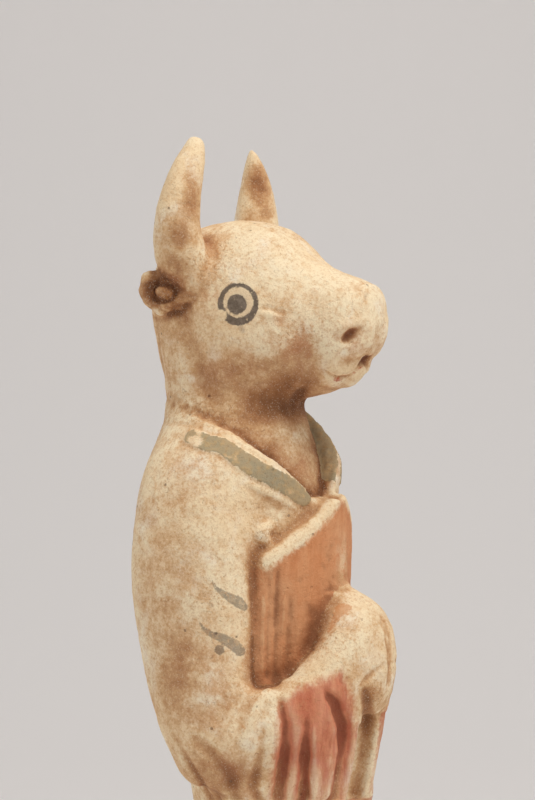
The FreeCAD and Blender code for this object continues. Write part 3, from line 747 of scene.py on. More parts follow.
eye_out = ellipse(pu, pv, 238.2, 304.2, 20.8, 21.8)
eye_in = ellipse(pu, pv, 238.3, 302.2, 14.6, 14.8)
pupil = np.minimum(ellipse(pu, pv, 237.0, 304.2, 10.2, 10.6), 99)
ring = np.minimum(eye_out, -eye_in)
gap = ellipse(pu, pv, 221.0, 315.0, 5.0, 4.0, 35)
ring = np.minimum(ring, -gap - 0.2)
ink = np.maximum(ring, pupil)
eye_near = ellipse(pu, pv, 238, 304, 30, 34) > 0
for st in ([(212, 580, 0.8), (216, 588, 2.2), (227, 596, 4.2), (238, 602, 6.3), (244, 607, 4.2)],
           [(199, 621, 1.0), (203, 628, 2.0), (211, 634, 3.4), (222, 638, 5.0), (234, 645, 6.2), (240, 651, 5.8)],
           [(219.4, 650, 5.4), (219.6, 650.2, 5.4)],
           [(236, 320.5, 3.2), (246, 319.5, 3.4)]):
    ink = np.maximum(ink, seg_dist(pu, pv, st))
ink = np.where(seen, ink, off)
wash = np.where(eye_near, 0.0, 1.0)
thin = np.where(seen, seg_dist(pu, pv, [(241, 327, 3.6), (243, 331, 3.0)]), off)
eye_white = np.where(seen, eye_in, off)

collar = np.where((V[:, 2] > 190) & (lab_v != HORN_R) & (lab_v != HORN_L), 0, -5.0)
dc = np.full(len(V), 99.0)
m = (V[:, 2] > 195) & (V[:, 2] < 226)
band = near[m] - np.where(V[m, :1] > 0, 1.0, 0.0) * np.array([0, 0, 4.0])
for a, b in zip(collar_line[:-1], collar_line[1:]):
    ab = b - a
    t = np.clip(((band - a) @ ab) / (ab @ ab), 0, 1)
    dc[m] = np.minimum(dc[m], np.linalg.norm(band - a - t[:, None] * ab, axis=1))
collar = np.clip(2.5 - dc, -5, 5)
rim = 0.9 - np.abs(above_v + 0.1)
collar = np.where((V[:, 0] > 4) & (V[:, 1] > 4) & (V[:, 2] > 206), np.maximum(collar, rim), collar)
chip = np.where(seen, np.maximum(ellipse(pu, pv, 195, 441, 7.5, 6.0), ellipse(pu, pv, 199, 428, 4.5, 5.5)), off)

slope_z = (V[:, 2] - PANEL_MID + np.abs(V[:, 0]) * math.tan(slope)) * math.cos(slope)
skin = sample(RD, V)
edge_wob = 0.8 * fbm(V + 11, 5.0, 3)
panel_m = np.minimum(np.minimum((skin - (PANEL_T - 2.2)) * 1.4, -slope_z - 2.4 + edge_wob), PANEL_X + 0.6 - np.abs(V[:, 0]))
panel_m = np.where((lab_v == PANEL) & (V[:, 1] > 9), panel_m, off)
spill = np.where(seen, in_poly(pu, pv, [(335, 606), (345, 602), (353, 606), (348, 614), (338, 620), (330, 632), (324, 640)]), off)

red = np.where(seen, in_poly(pu, pv, [(268, 812), (271, 760), (274, 738), (278, 716), (283, 703), (296, 691), (309, 684), (325, 677),
                                      (343, 667), (347, 684), (353, 702), (358, 735), (355, 770), (347, 812)]), off)
is_drape = (lab_v == DRAPE_R) | (lab_v == DRAPE_L)
red = np.where(is_drape & (V[:, 2] < 124), 1.5, np.where(near[:, 0] > -2.0, off, red))
red_w = step01((pv - 660) / 25) * (1 - 0.52 * step01((pv - 725) / 75))
low_w = 0.16 + 0.32 * step01((V[:, 2] - 96) / 30)
red_w = np.where(V[:, 2] < 124, low_w, red_w)

# brown stains with painted shade among them: under the jaw, behind the muzzle, down the cheek behind the ear and on the
# skirt front's side face
brown = blobs(pu, pv, [
    (205, 400, 26, 12, 0.25), (268, 412, 38, 20, 1.45), (298, 384, 30, 18, 0.95), (236, 366, 46, 14, 0.35), (205, 392, 30, 12, 0.4), (180, 690, 26, 30, 0.35), (256, 620, 8, 60, 0.9), (176, 345, 9, 34, 0.35), (212, 385, 12, 20, 0.35),
    (286, 360, 22, 22, 0.2), (372, 694, 9, 12, 1.0), (205, 775, 22, 18, 0.35), (232, 772, 14, 26, 0.35), (254, 560, 8, 18, 0.7),
    (210, 600, 22, 20, 0.15), (192, 196, 12, 46, 1.3), (184, 230, 20, 20, 1.25), (176, 262, 20, 14, 0.9), (148, 290, 15, 20, 2.6),
    (164, 292, 18, 20, 2.4), (180, 306, 12, 12, 0.8), (302, 520, 14, 10, 0.3), (262, 470, 10, 5, 0.2), (276, 690, 12, 7, 0.45),
]) * seen
# paler patches that take brown out, with painted highlight on lit tops such as the skirt front's ledge, the forearm and
# the shoulder
pale_and_highlight = blobs(pu, pv, [(268, 540, 14, 9, 1.0), (285, 524, 14, 9, 1.1), (302, 513, 14, 8, 1.1), (320, 503, 13, 8, 1.1), (338, 492, 12, 8, 1.1),
                      (300, 500, 26, 8, 0.6), (250, 525, 30, 20, 0.4), (300, 665, 30, 12, 0.5), (262, 690, 16, 12, 0.5), (300, 285, 40, 20, 0.3), (232, 232, 30, 18, 0.7), (185, 440, 34, 22, 0.6), (150, 520, 22, 60, 0.8)]) * seen
brown = brown - 0.9 * pale_and_highlight
# painted shade on the neck just above the garment edge
brown = np.maximum(brown, step01(above_v / 2.0 + 0.5) * (1 - step01((above_v - 8) / 10)) * step01((V[:, 1] + 2) / 14) * 0.8 * (V[:, 2] > 195))
far_horn = (lab_v == HORN_L) * blobs(ru, rv, [(258, 180, 15, 34, 2.0), (250, 152, 7, 10, 1.7), (266, 210, 10, 12, 1.3)])
brown = np.maximum(brown * (lab_v != HORN_L), far_horn)
# painted shade on the side face of the skirt front
panel_side_shade = (V[:, 1] > 8) * step01((np.abs(V[:, 0]) - PANEL_X + 2.2) / 1.2) * step01((-slope_z - 0.5) / 2.0) * step01((V[:, 2] - 146) / 8) * step01((PANEL_X + 2.4 - np.abs(V[:, 0])) / 1.4)
brown = np.maximum(brown, 0.8 * panel_side_shade * (panel_m < 0.4))
pink = blobs(pu, pv, [
    (300, 345, 30, 22, 0.8), (350, 342, 22, 14, 1.0), (285, 322, 22, 10, 0.5), (212, 300, 12, 22, 0.5), (180, 282, 16, 10, 0.6),
    (338, 379, 10, 5, 1.0), (240, 370, 40, 20, 0.4), (215, 690, 40, 60, 0.35), (300, 460, 16, 16, 0.6), (316, 470, 10, 16, 0.6),
    (340, 640, 20, 20, 0.25), (150, 560, 10, 60, 0.2), (223, 768, 22, 26, 0.6), (240, 800, 24, 30, 0.5), (190, 470, 24, 30, 0.3),
]) * seen
redspot = np.where(seen, np.maximum(ellipse(pu, pv, 337, 379.5, 4.2, 2.2), seg_dist(pu, pv, [(352, 374, 0.5), (362, 367, 0.9)])), off)
crust = blobs(pu, pv, [
    (166, 293, 12, 12, 1.0), (205, 412, 40, 10, 0.9), (265, 440, 26, 10, 0.6), (269, 537, 16, 12, 0.9), (256, 565, 8, 16, 0.8),
    (373, 694, 9, 12, 1.0), (205, 262, 22, 12, 0.7), (225, 250, 16, 10, 0.6), (300, 655, 24, 16, 0.7), (330, 640, 20, 20, 0.6),
    (262, 690, 14, 10, 0.6), (300, 335, 24, 14, 0.6), (218, 600, 26, 16, 0.5), (268, 480, 26, 6, 0.5), (345, 600, 10, 6, 0.5),
]) * seen

bald = np.exp(-(V[:, 0] / 3.4) ** 2) * step01((200 - V[:, 2]) / 14) * 0.75
blot = np.where(seen, step01(ellipse(pu, pv, 300, 539, 5.6, 9.0, 8) / 0.7 + 0.5) * 0.8, 0.0)
blot = np.maximum(blot, blobs(pu, pv, [(272, 570, 8, 10, 0.4), (275, 676, 14, 12, 0.5), (330, 612, 10, 26, 0.35), (344, 505, 5, 8, 0.4)]) * seen)

face = (V[:, 1] > 28) * (V[:, 2] > 232) * 1.0

FIELDS = {
    "cav": cav, "cavl": cavl, "occ": occ, "down": -N1[:, 2], "ink": ink, "thin": thin, "eye_white": eye_white,
    "collar": collar, "chip": chip, "panel": panel_m, "spill": spill, "red": red, "red_w": red_w, "brown": brown,
    "pink": pink, "redspot": redspot, "crust": crust, "wash": wash, "face": face, "bald": bald, "blot": blot,
}

# ------------------------------------------------------------------------------------ pieces
fc = V[Q].mean(1)
lab_f = lab_v[Q]
lab_f = np.array([lab_f[:, 0], lab_f[:, 1], lab_f[:, 2], lab_f[:, 3]])
lab_f = np.sort(lab_f, axis=0)[1]

PIECES = [
    ("robe_front_shell", ROBE, lambda c: c[:, 1] >= 0, 3.6), ("robe_back_shell", ROBE, lambda c: c[:, 1] < 0, 3.6),
    ("skirt_front", PANEL, None, 2.6), ("collar_band_right", COLLAR_R, None, 0.9), ("collar_band_left", COLLAR_L, None, 0.9),
    ("head_right_shell", HEAD, lambda c: c[:, 0] < 0, 3.4), ("head_left_shell", HEAD, lambda c: c[:, 0] >= 0, 3.4),
    ("horn_right", HORN_R, None, 0.0), ("horn_left", HORN_L, None, 0.0), ("ear_right", EAR_R, None, 0.0), ("ear_left", EAR_L, None, 0.0),
    ("arm_right", ARM_R, None, 3.0), ("arm_left", ARM_L, None, 3.0), ("forearm_right", FORE_R, None, 2.2), ("forearm_left", FORE_L, None, 2.2),
    ("clasped_hands", HANDS, None, 2.2), ("hanging_sleeve_right", DRAPE_R, None, 2.2), ("hanging_sleeve_left", DRAPE_L, None, 2.2),
    ("shoe_right", SHOE_R, None, 0.0), ("shoe_left", SHOE_L, None, 0.0),
]
piece_f = np.full(len(Q), -1)
for i, (name, label, cond, _) in enumerate(PIECES):
    m = lab_f == label
    if cond is not None:
        m &= cond(fc)
    piece_f[m] = i
# face neighbours across edges
ek = np.sort(np.concatenate([Q[:, [0, 1]], Q[:, [1, 2]], Q[:, [2, 3]], Q[:, [3, 0]]]), axis=1)
ef = np.tile(np.arange(len(Q)), 4)
key = ek[:, 0].astype(np.int64) * len(V) + ek[:, 1]
o = np.argsort(key, kind="stable")
same = key[o][1:] == key[o][:-1]
NB = np.stack([ef[o][:-1][same], ef[o][1:][same]], 1)
for _ in range(6):      # islands join the piece around them, ragged borders are evened out
    pr = NB[piece_f[NB[:, 0]] == piece_f[NB[:, 1]]]
    c = components(len(Q), pr)
    size = np.bincount(c, minlength=len(Q))
    best = np.zeros(len(PIECES), int)
    for i in range(len(PIECES)):
        ids = c[piece_f == i]
        best[i] = np.bincount(ids, minlength=1).argmax() if len(ids) else -1
    stray = (c != best[piece_f])
    votes = np.zeros((len(Q), len(PIECES)), np.int16)
    for a, b in ((0, 1), (1, 0)):
        ok = ~stray[NB[:, b]]
        np.add.at(votes, (NB[ok, a], piece_f[NB[ok, b]]), 1)
    win, top = votes.argmax(1), votes.max(1)
    change = (stray & (top > 0)) | ((top >= 3) & (win != piece_f))
    if not change.any():
        break
    piece_f[change] = win[change]


def to_row(p):
    return np.stack([p[:, 0], AXIS_Y - p[:, 1], p[:, 2]], 1) / 1000.0


def make_mesh(name, P, faces, normals=None, fields=None):
    """faces: list of (n, k) integer arrays. normals: per corner, in the same order."""
    me = bpy.data.meshes.new(name)
    loops = np.concatenate([f.ravel() for f in faces]).astype(np.int32)
    sizes = np.concatenate([np.full(len(f), f.shape[1]) for f in faces]).astype(np.int32)
    me.vertices.add(len(P))
    me.vertices.foreach_set("co", P.astype(f32).ravel())
    me.loops.add(len(loops))
    me.loops.foreach_set("vertex_index", loops)
    me.polygons.add(len(sizes))
    me.polygons.foreach_set("loop_start", np.r_[0, np.cumsum(sizes)[:-1]].astype(np.int32))
    me.polygons.foreach_set("loop_total", sizes)
    me.polygons.foreach_set("use_smooth", np.ones(len(sizes), bool))
    me.update(calc_edges=True)
    me.validate()
    if normals is not None and len(me.loops) == len(loops):
        me.normals_split_custom_set(normals.astype(f32))
    for k, v in (fields or {}).items():
        a = me.attributes.new(k, "FLOAT", "POINT")
        a.data.foreach_set("value", v.astype(f32))
    ob = bpy.data.objects.new(name, me)
    bpy.context.scene.collection.objects.link(ob)
    return ob


def build_piece(name, i, wall):
    q = Q[piece_f == i][:, ::-1]            # Y is flipped in the row frame, so faces turn round
    ids = np.unique(q)
    loc = np.full(len(V), -1)
    loc[ids] = np.arange(len(ids))
    q = loc[q]
    P, N = V[ids], N1[ids]
    n = len(P)
    d = np.concatenate([q[:, [0, 1]], q[:, [1, 2]], q[:, [2, 3]], q[:, [3, 0]]])
    k1, k2 = d[:, 0].astype(np.int64) * n + d[:, 1], d[:, 1].astype(np.int64) * n + d[:, 0]
    open_e = d[~np.isin(k1, k2)]
    faces, extra = [q], []
    if wall > 0:
        S = N.copy()
        for _ in range(12):                  # softened normals keep the inner wall from folding
            A = np.zeros_like(S)
            c = np.zeros(n)
            for a, b in ((0, 1), (1, 2), (2, 3), (3, 0)):
                for x, y in ((a, b), (b, a)):
                    for ax in range(3):
                        A[:, ax] += np.bincount(q[:, x], S[q[:, y], ax], n)
                    c += np.bincount(q[:, x], minlength=n)
            S = A / c[:, None]
            S /= np.linalg.norm(S, axis=1)[:, None] + 1e-9
        R = P - S * wall
        rim = np.zeros(n, bool)
        rim[open_e.ravel()] = True
        cell = np.floor(R / 2.4).astype(np.int64)
        ck = (cell[:, 0] + 500) * 4000000 + (cell[:, 1] + 500) * 2000 + (cell[:, 2] + 500)
        ck[rim] = -1 - np.arange(n)[rim]
        _, inv = np.unique(ck, return_inverse=True)
        inv = inv.reshape(-1)
        cnt = np.bincount(inv)
        RP = np.stack([np.bincount(inv, R[:, a]) / cnt for a in range(3)], 1)
        iq = inv[q][:, ::-1]
        tri = np.concatenate([iq[:, [0, 1, 2]], iq[:, [0, 2, 3]]])
        ok = (tri[:, 0] != tri[:, 1]) & (tri[:, 1] != tri[:, 2]) & (tri[:, 0] != tri[:, 2])
        tri = tri[ok]
        st = np.sort(tri, axis=1)
        _, first, count = np.unique(st, axis=0, return_index=True, return_counts=True)
        tri = tri[first[count % 2 == 1]]
        faces.append(tri + n)
        faces.append(np.stack([open_e[:, 1], open_e[:, 0], inv[open_e[:, 0]] + n, inv[open_e[:, 1]] + n], 1))
        allP = np.vstack([P, RP])
    else:
        rim = np.unique(open_e)
        mid = P[rim].mean(0) - N[rim].mean(0) * 0.8
        faces.append(np.stack([open_e[:, 1], open_e[:, 0], np.full(len(open_e), n)], 1))
        allP = np.vstack([P, mid])
    pr = to_row(allP)
    rn = lambda a: np.stack([a[:, 0], -a[:, 1], a[:, 2]], 1)
    norms = [rn(N[q.ravel()])]
    for f in faces[1:]:
        a, b, c = pr[f[:, 0]], pr[f[:, 1]], pr[f[:, 2]]
        g = np.cross(b - a, c - a)
        g /= np.linalg.norm(g, axis=1)[:, None] + 1e-12
        norms.append(np.repeat(g, f.shape[1], axis=0))
    fields = {}
    for k, v in FIELDS.items():
        w = v[ids]
        if wall > 0:
            fields[k] = np.r_[w, np.bincount(inv, w) / cnt]
        else:
            fields[k] = np.r_[w, w[rim].mean()]
    ob = make_mesh(name, pr, faces, np.concatenate(norms), fields)
    return ob


pieces = {}
for i, (name, label, cond, wall) in enumerate(PIECES):
    if (piece_f == i).sum() == 0:
        raise RuntimeError("no faces for " + name)
    pieces[name] = build_piece(name + "_skin", i, wall)
    print("piece", name, len(pieces[name].data.polygons))


def plinth():
    """A slab with softened edges and a round vent through it, from its own small grid."""
    h = min(H, 0.5)
    gx, gf, gz = np.arange(-36, 36.1, h), np.arange(-35.5, 46.1, h), np.arange(-2, 8.6, h)
    x, f, z = gx[:, None, None], gf[None, :, None], gz[None, None, :]
    a, fr, bk = 33.6, 43.2, 32.6
    cf, sf = (fr - bk) / 2, (fr + bk) / 2
    q = (np.abs(x / a) ** 3.4 + np.abs((f - cf) / sf) ** 3.4) ** (1 / 3.4)
    g = np.gradient(q + 0 * z, h)
    side = (q - 1) / np.maximum(np.sqrt(g[0] ** 2 + g[1] ** 2), 5e-3)
    wave = 0.35 * np.sin(x / 9.0 + 1.0) * np.cos(f / 11.0)
    d = smax(smax(side, z - 5.8 - wave * 0.5, 2.2), -z + 0.05, 1.4)
    d = smax(d, -(np.hypot(x, f - AXIS_Y) - 9.0), 1.2)
    pv_, pq = surface_nets_at(d.astype(f32), (gx[0], gf[0], gz[0]), h)
    n = vertex_normals(pv_, pq)
    rel = 0.22 * fbm(pv_, 9.0, 2) + 0.10 * fbm(pv_ + 50, 2.6, 2) - 0.16 * np.maximum(fbm(pv_ + 7, 1.7, 2), 0.12)
    top = np.clip(pv_[:, 2], 0, 1)
    pv_ = pv_ + n * (rel * (0.25 + 0.75 * top))[:, None]
    pv_[:, 2] = np.maximum(pv_[:, 2], 0.0)
    n = vertex_normals(pv_, pq)
    edge_c = np.clip((np.abs(side_at(pv_, a, cf, sf)) < 1.5) * 0.4, 0, 1)
    # painted shade: the slab's top darkens round the robe's foot
    inner = np.exp(-np.maximum(robe_gap(pv_), 0) / 3.0) * (pv_[:, 2] > 4.5)
    zero = np.zeros(len(pv_))
    fields = {k: zero - 5.0 for k in FIELDS}
    fields.update(wash=zero, face=zero, bald=zero, blot=zero)
    # painted shade also on the slab's underside
    fields.update(cav=edge_c * 0.5 - inner * 0.6, cavl=edge_c - inner, occ=inner * 0.8 + (pv_[:, 2] < 0.6) * 0.8, down=-n[:, 2], red_w=zero,
                  brown=0.30 + 0.5 * inner, pink=zero + 0.1, crust=zero + 0.35)
    q = pq[:, ::-1]
    rn = np.stack([n[:, 0], -n[:, 1], n[:, 2]], 1)
    return make_mesh("plinth_skin", to_row(pv_), [q], rn[q.ravel()], fields)


def side_at(p, a, cf, sf):
    return ((np.abs(p[:, 0] / a) ** 3.4 + np.abs((p[:, 1] - cf) / sf) ** 3.4) ** (1 / 3.4) - 1) * 34


def robe_gap(p):
    cf, sf = (26.1 - 23.1) / 2, (26.1 + 23.1) / 2
    return (np.hypot(p[:, 0] / 27.6, (p[:, 1] - cf) / sf) - 1) * 26


pieces["plinth"] = plinth()

# ------------------------------------------------------------------------------------ material
def lin(r, g, b):
    c = [v / 255.0 for v in (r, g, b)]
    return tuple(v / 12.92 if v <= 0.04045 else ((v + 0.055) / 1.055) ** 2.4 for v in c) + (1.0,)


class Shade:
    """Small helper that builds a node tree by arithmetic."""

    def __init__(self, name):
        self.mat = bpy.data.materials.new(name)
        self.mat.use_nodes = True
        self.t = self.mat.node_tree
        self.t.nodes.clear()
        tc = self.t.nodes.new("ShaderNodeTexCoord")
        sc = self.t.nodes.new("ShaderNodeVectorMath")
        sc.operation = "SCALE"
        self.t.links.new(tc.outputs["Object"], sc.inputs[0])
        sc.inputs["Scale"].default_value = 1000.0
        self.p = sc.outputs[0]
        self.cache = {}

    def put(self, socket, v):
        if isinstance(v, bpy.types.NodeSocket):
            self.t.links.new(v, socket)
        else:
            socket.default_value = v

    def math(self, op, a, b=0.0, c=0.0, clamp=False):
        n = self.t.nodes.new("ShaderNodeMath")
        n.operation, n.use_clamp = op, clamp
        for s_, v in zip(n.inputs, (a, b, c)):
            self.put(s_, v)
        return n.outputs[0]

    def add(self, a, b, clamp=False):
        return self.math("ADD", a, b, clamp=clamp)

    def sub(self, a, b, clamp=False):
        return self.math("SUBTRACT", a, b, clamp=clamp)

    def mul(self, a, b, clamp=False):
        return self.math("MULTIPLY", a, b, clamp=clamp)

    def mad(self, a, b, c, clamp=False):
        return self.math("MULTIPLY_ADD", a, b, c, clamp=clamp)

    def step(self, v, lo, hi):
        """0 below lo, 1 above hi, smooth between."""
        n = self.t.nodes.new("ShaderNodeMapRange")
        n.interpolation_type = "SMOOTHSTEP"
        self.put(n.inputs["Value"], v)
        n.inputs["From Min"].default_value, n.inputs["From Max"].default_value = lo, hi
        return n.outputs[0]

    def attr(self, name):
        if name not in self.cache:
            n = self.t.nodes.new("ShaderNodeAttribute")
            n.attribute_name = name
            self.cache[name] = n.outputs["Fac"]
        return self.cache[name]

    def noise(self, wave, detail=3.0, rough=0.5, stretch=None, warp=0.0):
        n = self.t.nodes.new("ShaderNodeTexNoise")
        n.inputs["Scale"].default_value = 1.0 / wave
        n.inputs["Detail"].default_value = detail
        n.inputs["Roughness"].default_value = rough
        n.inputs["Distortion"].default_value = warp
        src = self.p
        if stretch:
            m = self.t.nodes.new("ShaderNodeVectorMath")
            m.operation = "MULTIPLY"
            self.t.links.new(self.p, m.inputs[0])
            m.inputs[1].default_value = stretch
            src = m.outputs[0]
        self.t.links.new(src, n.inputs["Vector"])
        return n.outputs["Fac"]

    def cells(self, wave, rnd=1.0):
        n = self.t.nodes.new("ShaderNodeTexVoronoi")
        n.inputs["Scale"].default_value = 1.0 / wave
        n.inputs["Randomness"].default_value = rnd
        self.t.links.new(self.p, n.inputs["Vector"])
        return n.outputs["Distance"]

    def mix(self, f, a, b, blend="MIX"):
        n = self.t.nodes.new("ShaderNodeMix")
        n.data_type, n.blend_type = "RGBA", blend
        self.put(n.inputs[0], f)
        self.put(n.inputs[6], a)
        self.put(n.inputs[7], b)
        return n.outputs[2]


def clay_material(name, bare=False):
    s = Shade(name)
    big, mid, fine = s.noise(22.0, 3.0), s.noise(5.5, 5.0, 0.62), s.noise(1.5, 4.0, 0.65)
    speck, grain, patch = s.noise(0.75, 2.0, 0.6), s.noise(0.42, 2.0, 0.6), s.noise(11.0, 4.0, 0.6, warp=0.6)
    cavs, cavl, occ, down = s.attr("cav"), s.attr("cavl"), s.attr("occ"), s.attr("down")
    # slip colour: cream, with warmer and paler clouds
    slip = s.mix(s.step(big, 0.38, 0.64), lin(246, 227, 192), lin(241, 214, 173))
    slip = s.mix(s.step(patch, 0.50, 0.72), slip, lin(247, 233, 208))
    slip = s.mix(s.mul(s.step(mid, 0.48, 0.70), 0.40), slip, lin(228, 192, 148))
    slip = s.mix(s.mul(s.step(fine, 0.46, 0.64), 0.45), slip, lin(226, 190, 144))
    # earth in the hollows together with painted shade: the colour darkens in creases, where the solid is occluded and
    # on faces turned down
    earth_and_shade = s.mad(cavs, -1.15, 0.0)
    earth_and_shade = s.mad(cavl, -0.42, earth_and_shade)
    earth_and_shade = s.mad(occ, 0.85, earth_and_shade)
    earth_and_shade = s.mad(s.step(down, -0.45, 0.85), 0.42, earth_and_shade)
    earth_and_shade = s.mad(s.attr("brown"), 0.80, earth_and_shade)
    earth_and_shade = s.mad(s.sub(mid, 0.5), 0.70, earth_and_shade)
    earth_and_shade = s.mad(s.sub(fine, 0.5), 0.55, earth_and_shade)
    earth_and_shade = s.mad(s.sub(speck, 0.5), 0.30, earth_and_shade)
    earth_and_shade = s.mad(s.sub(big, 0.5), 0.35, earth_and_shade)
    earth_and_shade = s.add(earth_and_shade, -0.08)
    col = s.mix(s.mul(s.step(earth_and_shade, -0.25, 0.60), 0.82), slip, lin(208, 160, 110))
    col = s.mix(s.mul(s.step(earth_and_shade, 0.20, 1.15), 0.88), col, lin(164, 110, 70))
    col = s.mix(s.mul(s.step(earth_and_shade, 0.80, 1.70), 0.85), col, lin(110, 67, 40))
    # blush of the clay through thin slip
    pk = s.mul(s.attr("pink"), s.step(s.add(mid, s.mul(s.sub(fine, 0.5), 0.6)), 0.36, 0.66))
    col = s.mix(s.mul(pk, 0.62), col, lin(196, 134, 98))
    # speckle of soil
    sp = s.step(s.add(speck, s.mul(s.attr("crust"), 0.08)), 0.56, 0.72)
    col = s.mix(s.mul(sp, s.mad(s.attr("crust"), 0.40, 0.26)), col, lin(190, 134, 80))
    sp2 = s.step(s.add(s.noise(1.15, 2.0, 0.5, warp=1.0), s.mul(s.attr("crust"), 0.07)), 0.66, 0.76)
    col = s.mix(s.mul(sp2, 0.40), col, lin(140, 90, 54))
    # rare dark pits
    pit = s.step(s.cells(6.5), 0.075, 0.035)
    col = s.mix(s.mul(pit, 0.55), col, lin(92, 58, 36))
    # pale grains where the slip is chalky
    chalk = s.step(grain, 0.54, 0.72)
    col = s.mix(s.mul(chalk, 0.30), col, lin(250, 238, 213))
    dusk = s.step(grain, 0.46, 0.30)
    col = s.mix(s.mul(dusk, 0.26), col, lin(176, 126, 82))
    paint_bump = 0.0
    if not bare:
        ragged = s.mad(s.sub(fine, 0.5), 1.6, s.mul(s.sub(speck, 0.5), 0.9))
        # orange skirt front
        om = s.step(s.add(s.attr("panel"), ragged), -0.9, 1.1)
        om = s.mul(om, s.sub(1.0, s.mul(s.attr("bald"), s.step(s.add(mid, s.mul(s.sub(fine, 0.5), 0.8)), 0.30, 0.60))))
        worn = s.step(s.add(mid, s.mul(s.sub(fine, 0.5), 0.5)), 0.70, 0.84)
        worn = s.math("MAXIMUM", worn, s.mul(s.step(cavs, 0.22, 0.42), s.step(fine, 0.42, 0.6)))
        om = s.mul(om, s.sub(1.0, s.mul(worn, 0.55)))
        streak = s.noise(3.2, 3.0, 0.6, stretch=(1.0, 1.0, 0.22))
        orange = s.mix(s.step(streak, 0.35, 0.68), lin(216, 152, 106), lin(204, 134, 88))
        orange = s.mix(s.mul(s.step(big, 0.42, 0.66), 0.6), orange, lin(220, 166, 122))
        orange = s.mix(s.mul(s.step(fine, 0.48, 0.68), 0.35), orange, lin(196, 122, 76))
        # painted shade on the skirt front: darker where occluded and in the pleats; convex edges lighter, partly worn
        # paint and partly painted highlight
        orange = s.mix(s.mul(s.step(s.add(mid, occ), 0.55, 1.25), 0.7), orange, lin(150, 88, 52))
        orange = s.mix(s.mul(s.step(s.mul(cavs, -1.0), 0.04, 0.38), 0.85), orange, lin(132, 82, 52))
        orange = s.mix(s.mul(s.step(cavs, 0.10, 0.30), 0.45), orange, lin(232, 190, 146))
        orange = s.mix(s.mul(s.attr("blot"), 0.75), orange, lin(142, 96, 66))
        orange = s.mix(s.mul(chalk, 0.22), orange, lin(228, 184, 140))
        col = s.mix(om, col, orange)
        om2 = s.mul(s.step(s.add(s.attr("spill"), s.mul(ragged, 1.3)), -0.4, 0.7), 0.62)
        col = s.mix(om2, col, lin(206, 140, 88))
        # grey-green collar
        cm = s.step(s.add(s.attr("collar"), s.mul(ragged, 0.7)), -0.10, 0.22)
        cm = s.mul(cm, s.sub(1.0, s.step(s.add(s.attr("chip"), ragged), -0.3, 0.3)))
        cm = s.mul(cm, s.sub(1.0, s.mul(s.step(s.add(mid, s.mul(s.sub(fine, 0.5), 0.8)), 0.62, 0.82), 0.75)))
        grey = s.mix(s.step(patch, 0.40, 0.62), lin(172, 148, 112), lin(156, 142, 112))
        grey = s.mix(s.mul(s.step(fine, 0.46, 0.66), 0.65), grey, lin(202, 166, 112))
        grey = s.mix(s.mul(s.step(speck, 0.52, 0.68), 0.5), grey, lin(136, 118, 92))
        col = s.mix(s.mul(cm, 0.88), col, grey)
        # red wash on the sleeves, brushed down the folds
        brush = s.noise(2.4, 4.0, 0.65, stretch=(1.0, 1.0, 0.16))
        rm = s.step(s.add(s.attr("red"), s.mad(s.sub(brush, 0.5), 5.0, s.mad(s.sub(mid, 0.5), 4.0, ragged))), -1.6, 2.2)
        rm = s.mul(rm, s.step(s.add(s.attr("red_w"), s.mul(s.sub(brush, 0.5), 1.5)), 0.02, 0.85))
        rm = s.mul(rm, s.mad(s.step(cavs, 0.05, 0.40), -0.45, 1.0))
        redc = s.mix(s.step(brush, 0.36, 0.62), lin(214, 132, 98), lin(194, 104, 76))
        redc = s.mix(s.mul(s.step(fine, 0.46, 0.66), 0.4), redc, lin(204, 142, 104))
        # painted shade: the red darkens in the folds
        redc = s.mix(s.mul(s.step(s.mad(cavs, -1.6, s.mul(cavl, -0.5)), 0.04, 0.60), 0.85), redc, lin(132, 64, 44))
        col = s.mix(s.mul(rm, 0.88), col, redc)
        # eye white, ink
        ew = s.step(s.add(s.attr("eye_white"), s.mul(ragged, 0.4)), -0.1, 0.25)
        col = s.mix(s.mul(ew, 0.55), col, lin(226, 200, 164))
        im = s.step(s.add(s.attr("ink"), s.mul(ragged, 0.42)), -0.06, 0.30)
        broken = s.step(s.add(s.noise(1.0, 3.0, 0.6), s.mul(s.sub(speck, 0.5), 0.4)), 0.62, 0.74)
        im = s.mul(im, s.sub(1.0, s.mul(broken, 0.7)))
        im = s.mul(im, s.mad(s.attr("wash"), -0.32, 1.0))
        im = s.mul(im, s.sub(1.0, s.mul(s.mul(s.attr("wash"), s.step(fine, 0.46, 0.62)), 0.35)))
        ink = s.mix(s.step(fine, 0.4, 0.65), lin(84, 72, 64), lin(112, 100, 90))
        col = s.mix(s.mul(s.step(s.attr("thin"), -0.2, 0.6), 0.35), col, lin(150, 128, 110))
        col = s.mix(s.mul(im, 0.90), col, ink)
        # painted shade in the muzzle's hollows: nostril and mouth
        muzzle_hollow_shade = s.step(s.mul(cavs, -1.0), 0.16, 0.50)
        col = s.mix(s.mul(s.mul(muzzle_hollow_shade, s.attr("face")), 0.75), col, lin(112, 62, 42))
        rs = s.step(s.add(s.attr("redspot"), s.mul(ragged, 0.5)), -0.2, 0.4)
        col = s.mix(s.mul(rs, 0.7), col, lin(186, 72, 44))
        paint_bump = s.mul(s.math("MAXIMUM", om, s.math("MAXIMUM", cm, im)), 0.35)
    else:
        col = s.mix(0.55, col, lin(168, 112, 76))
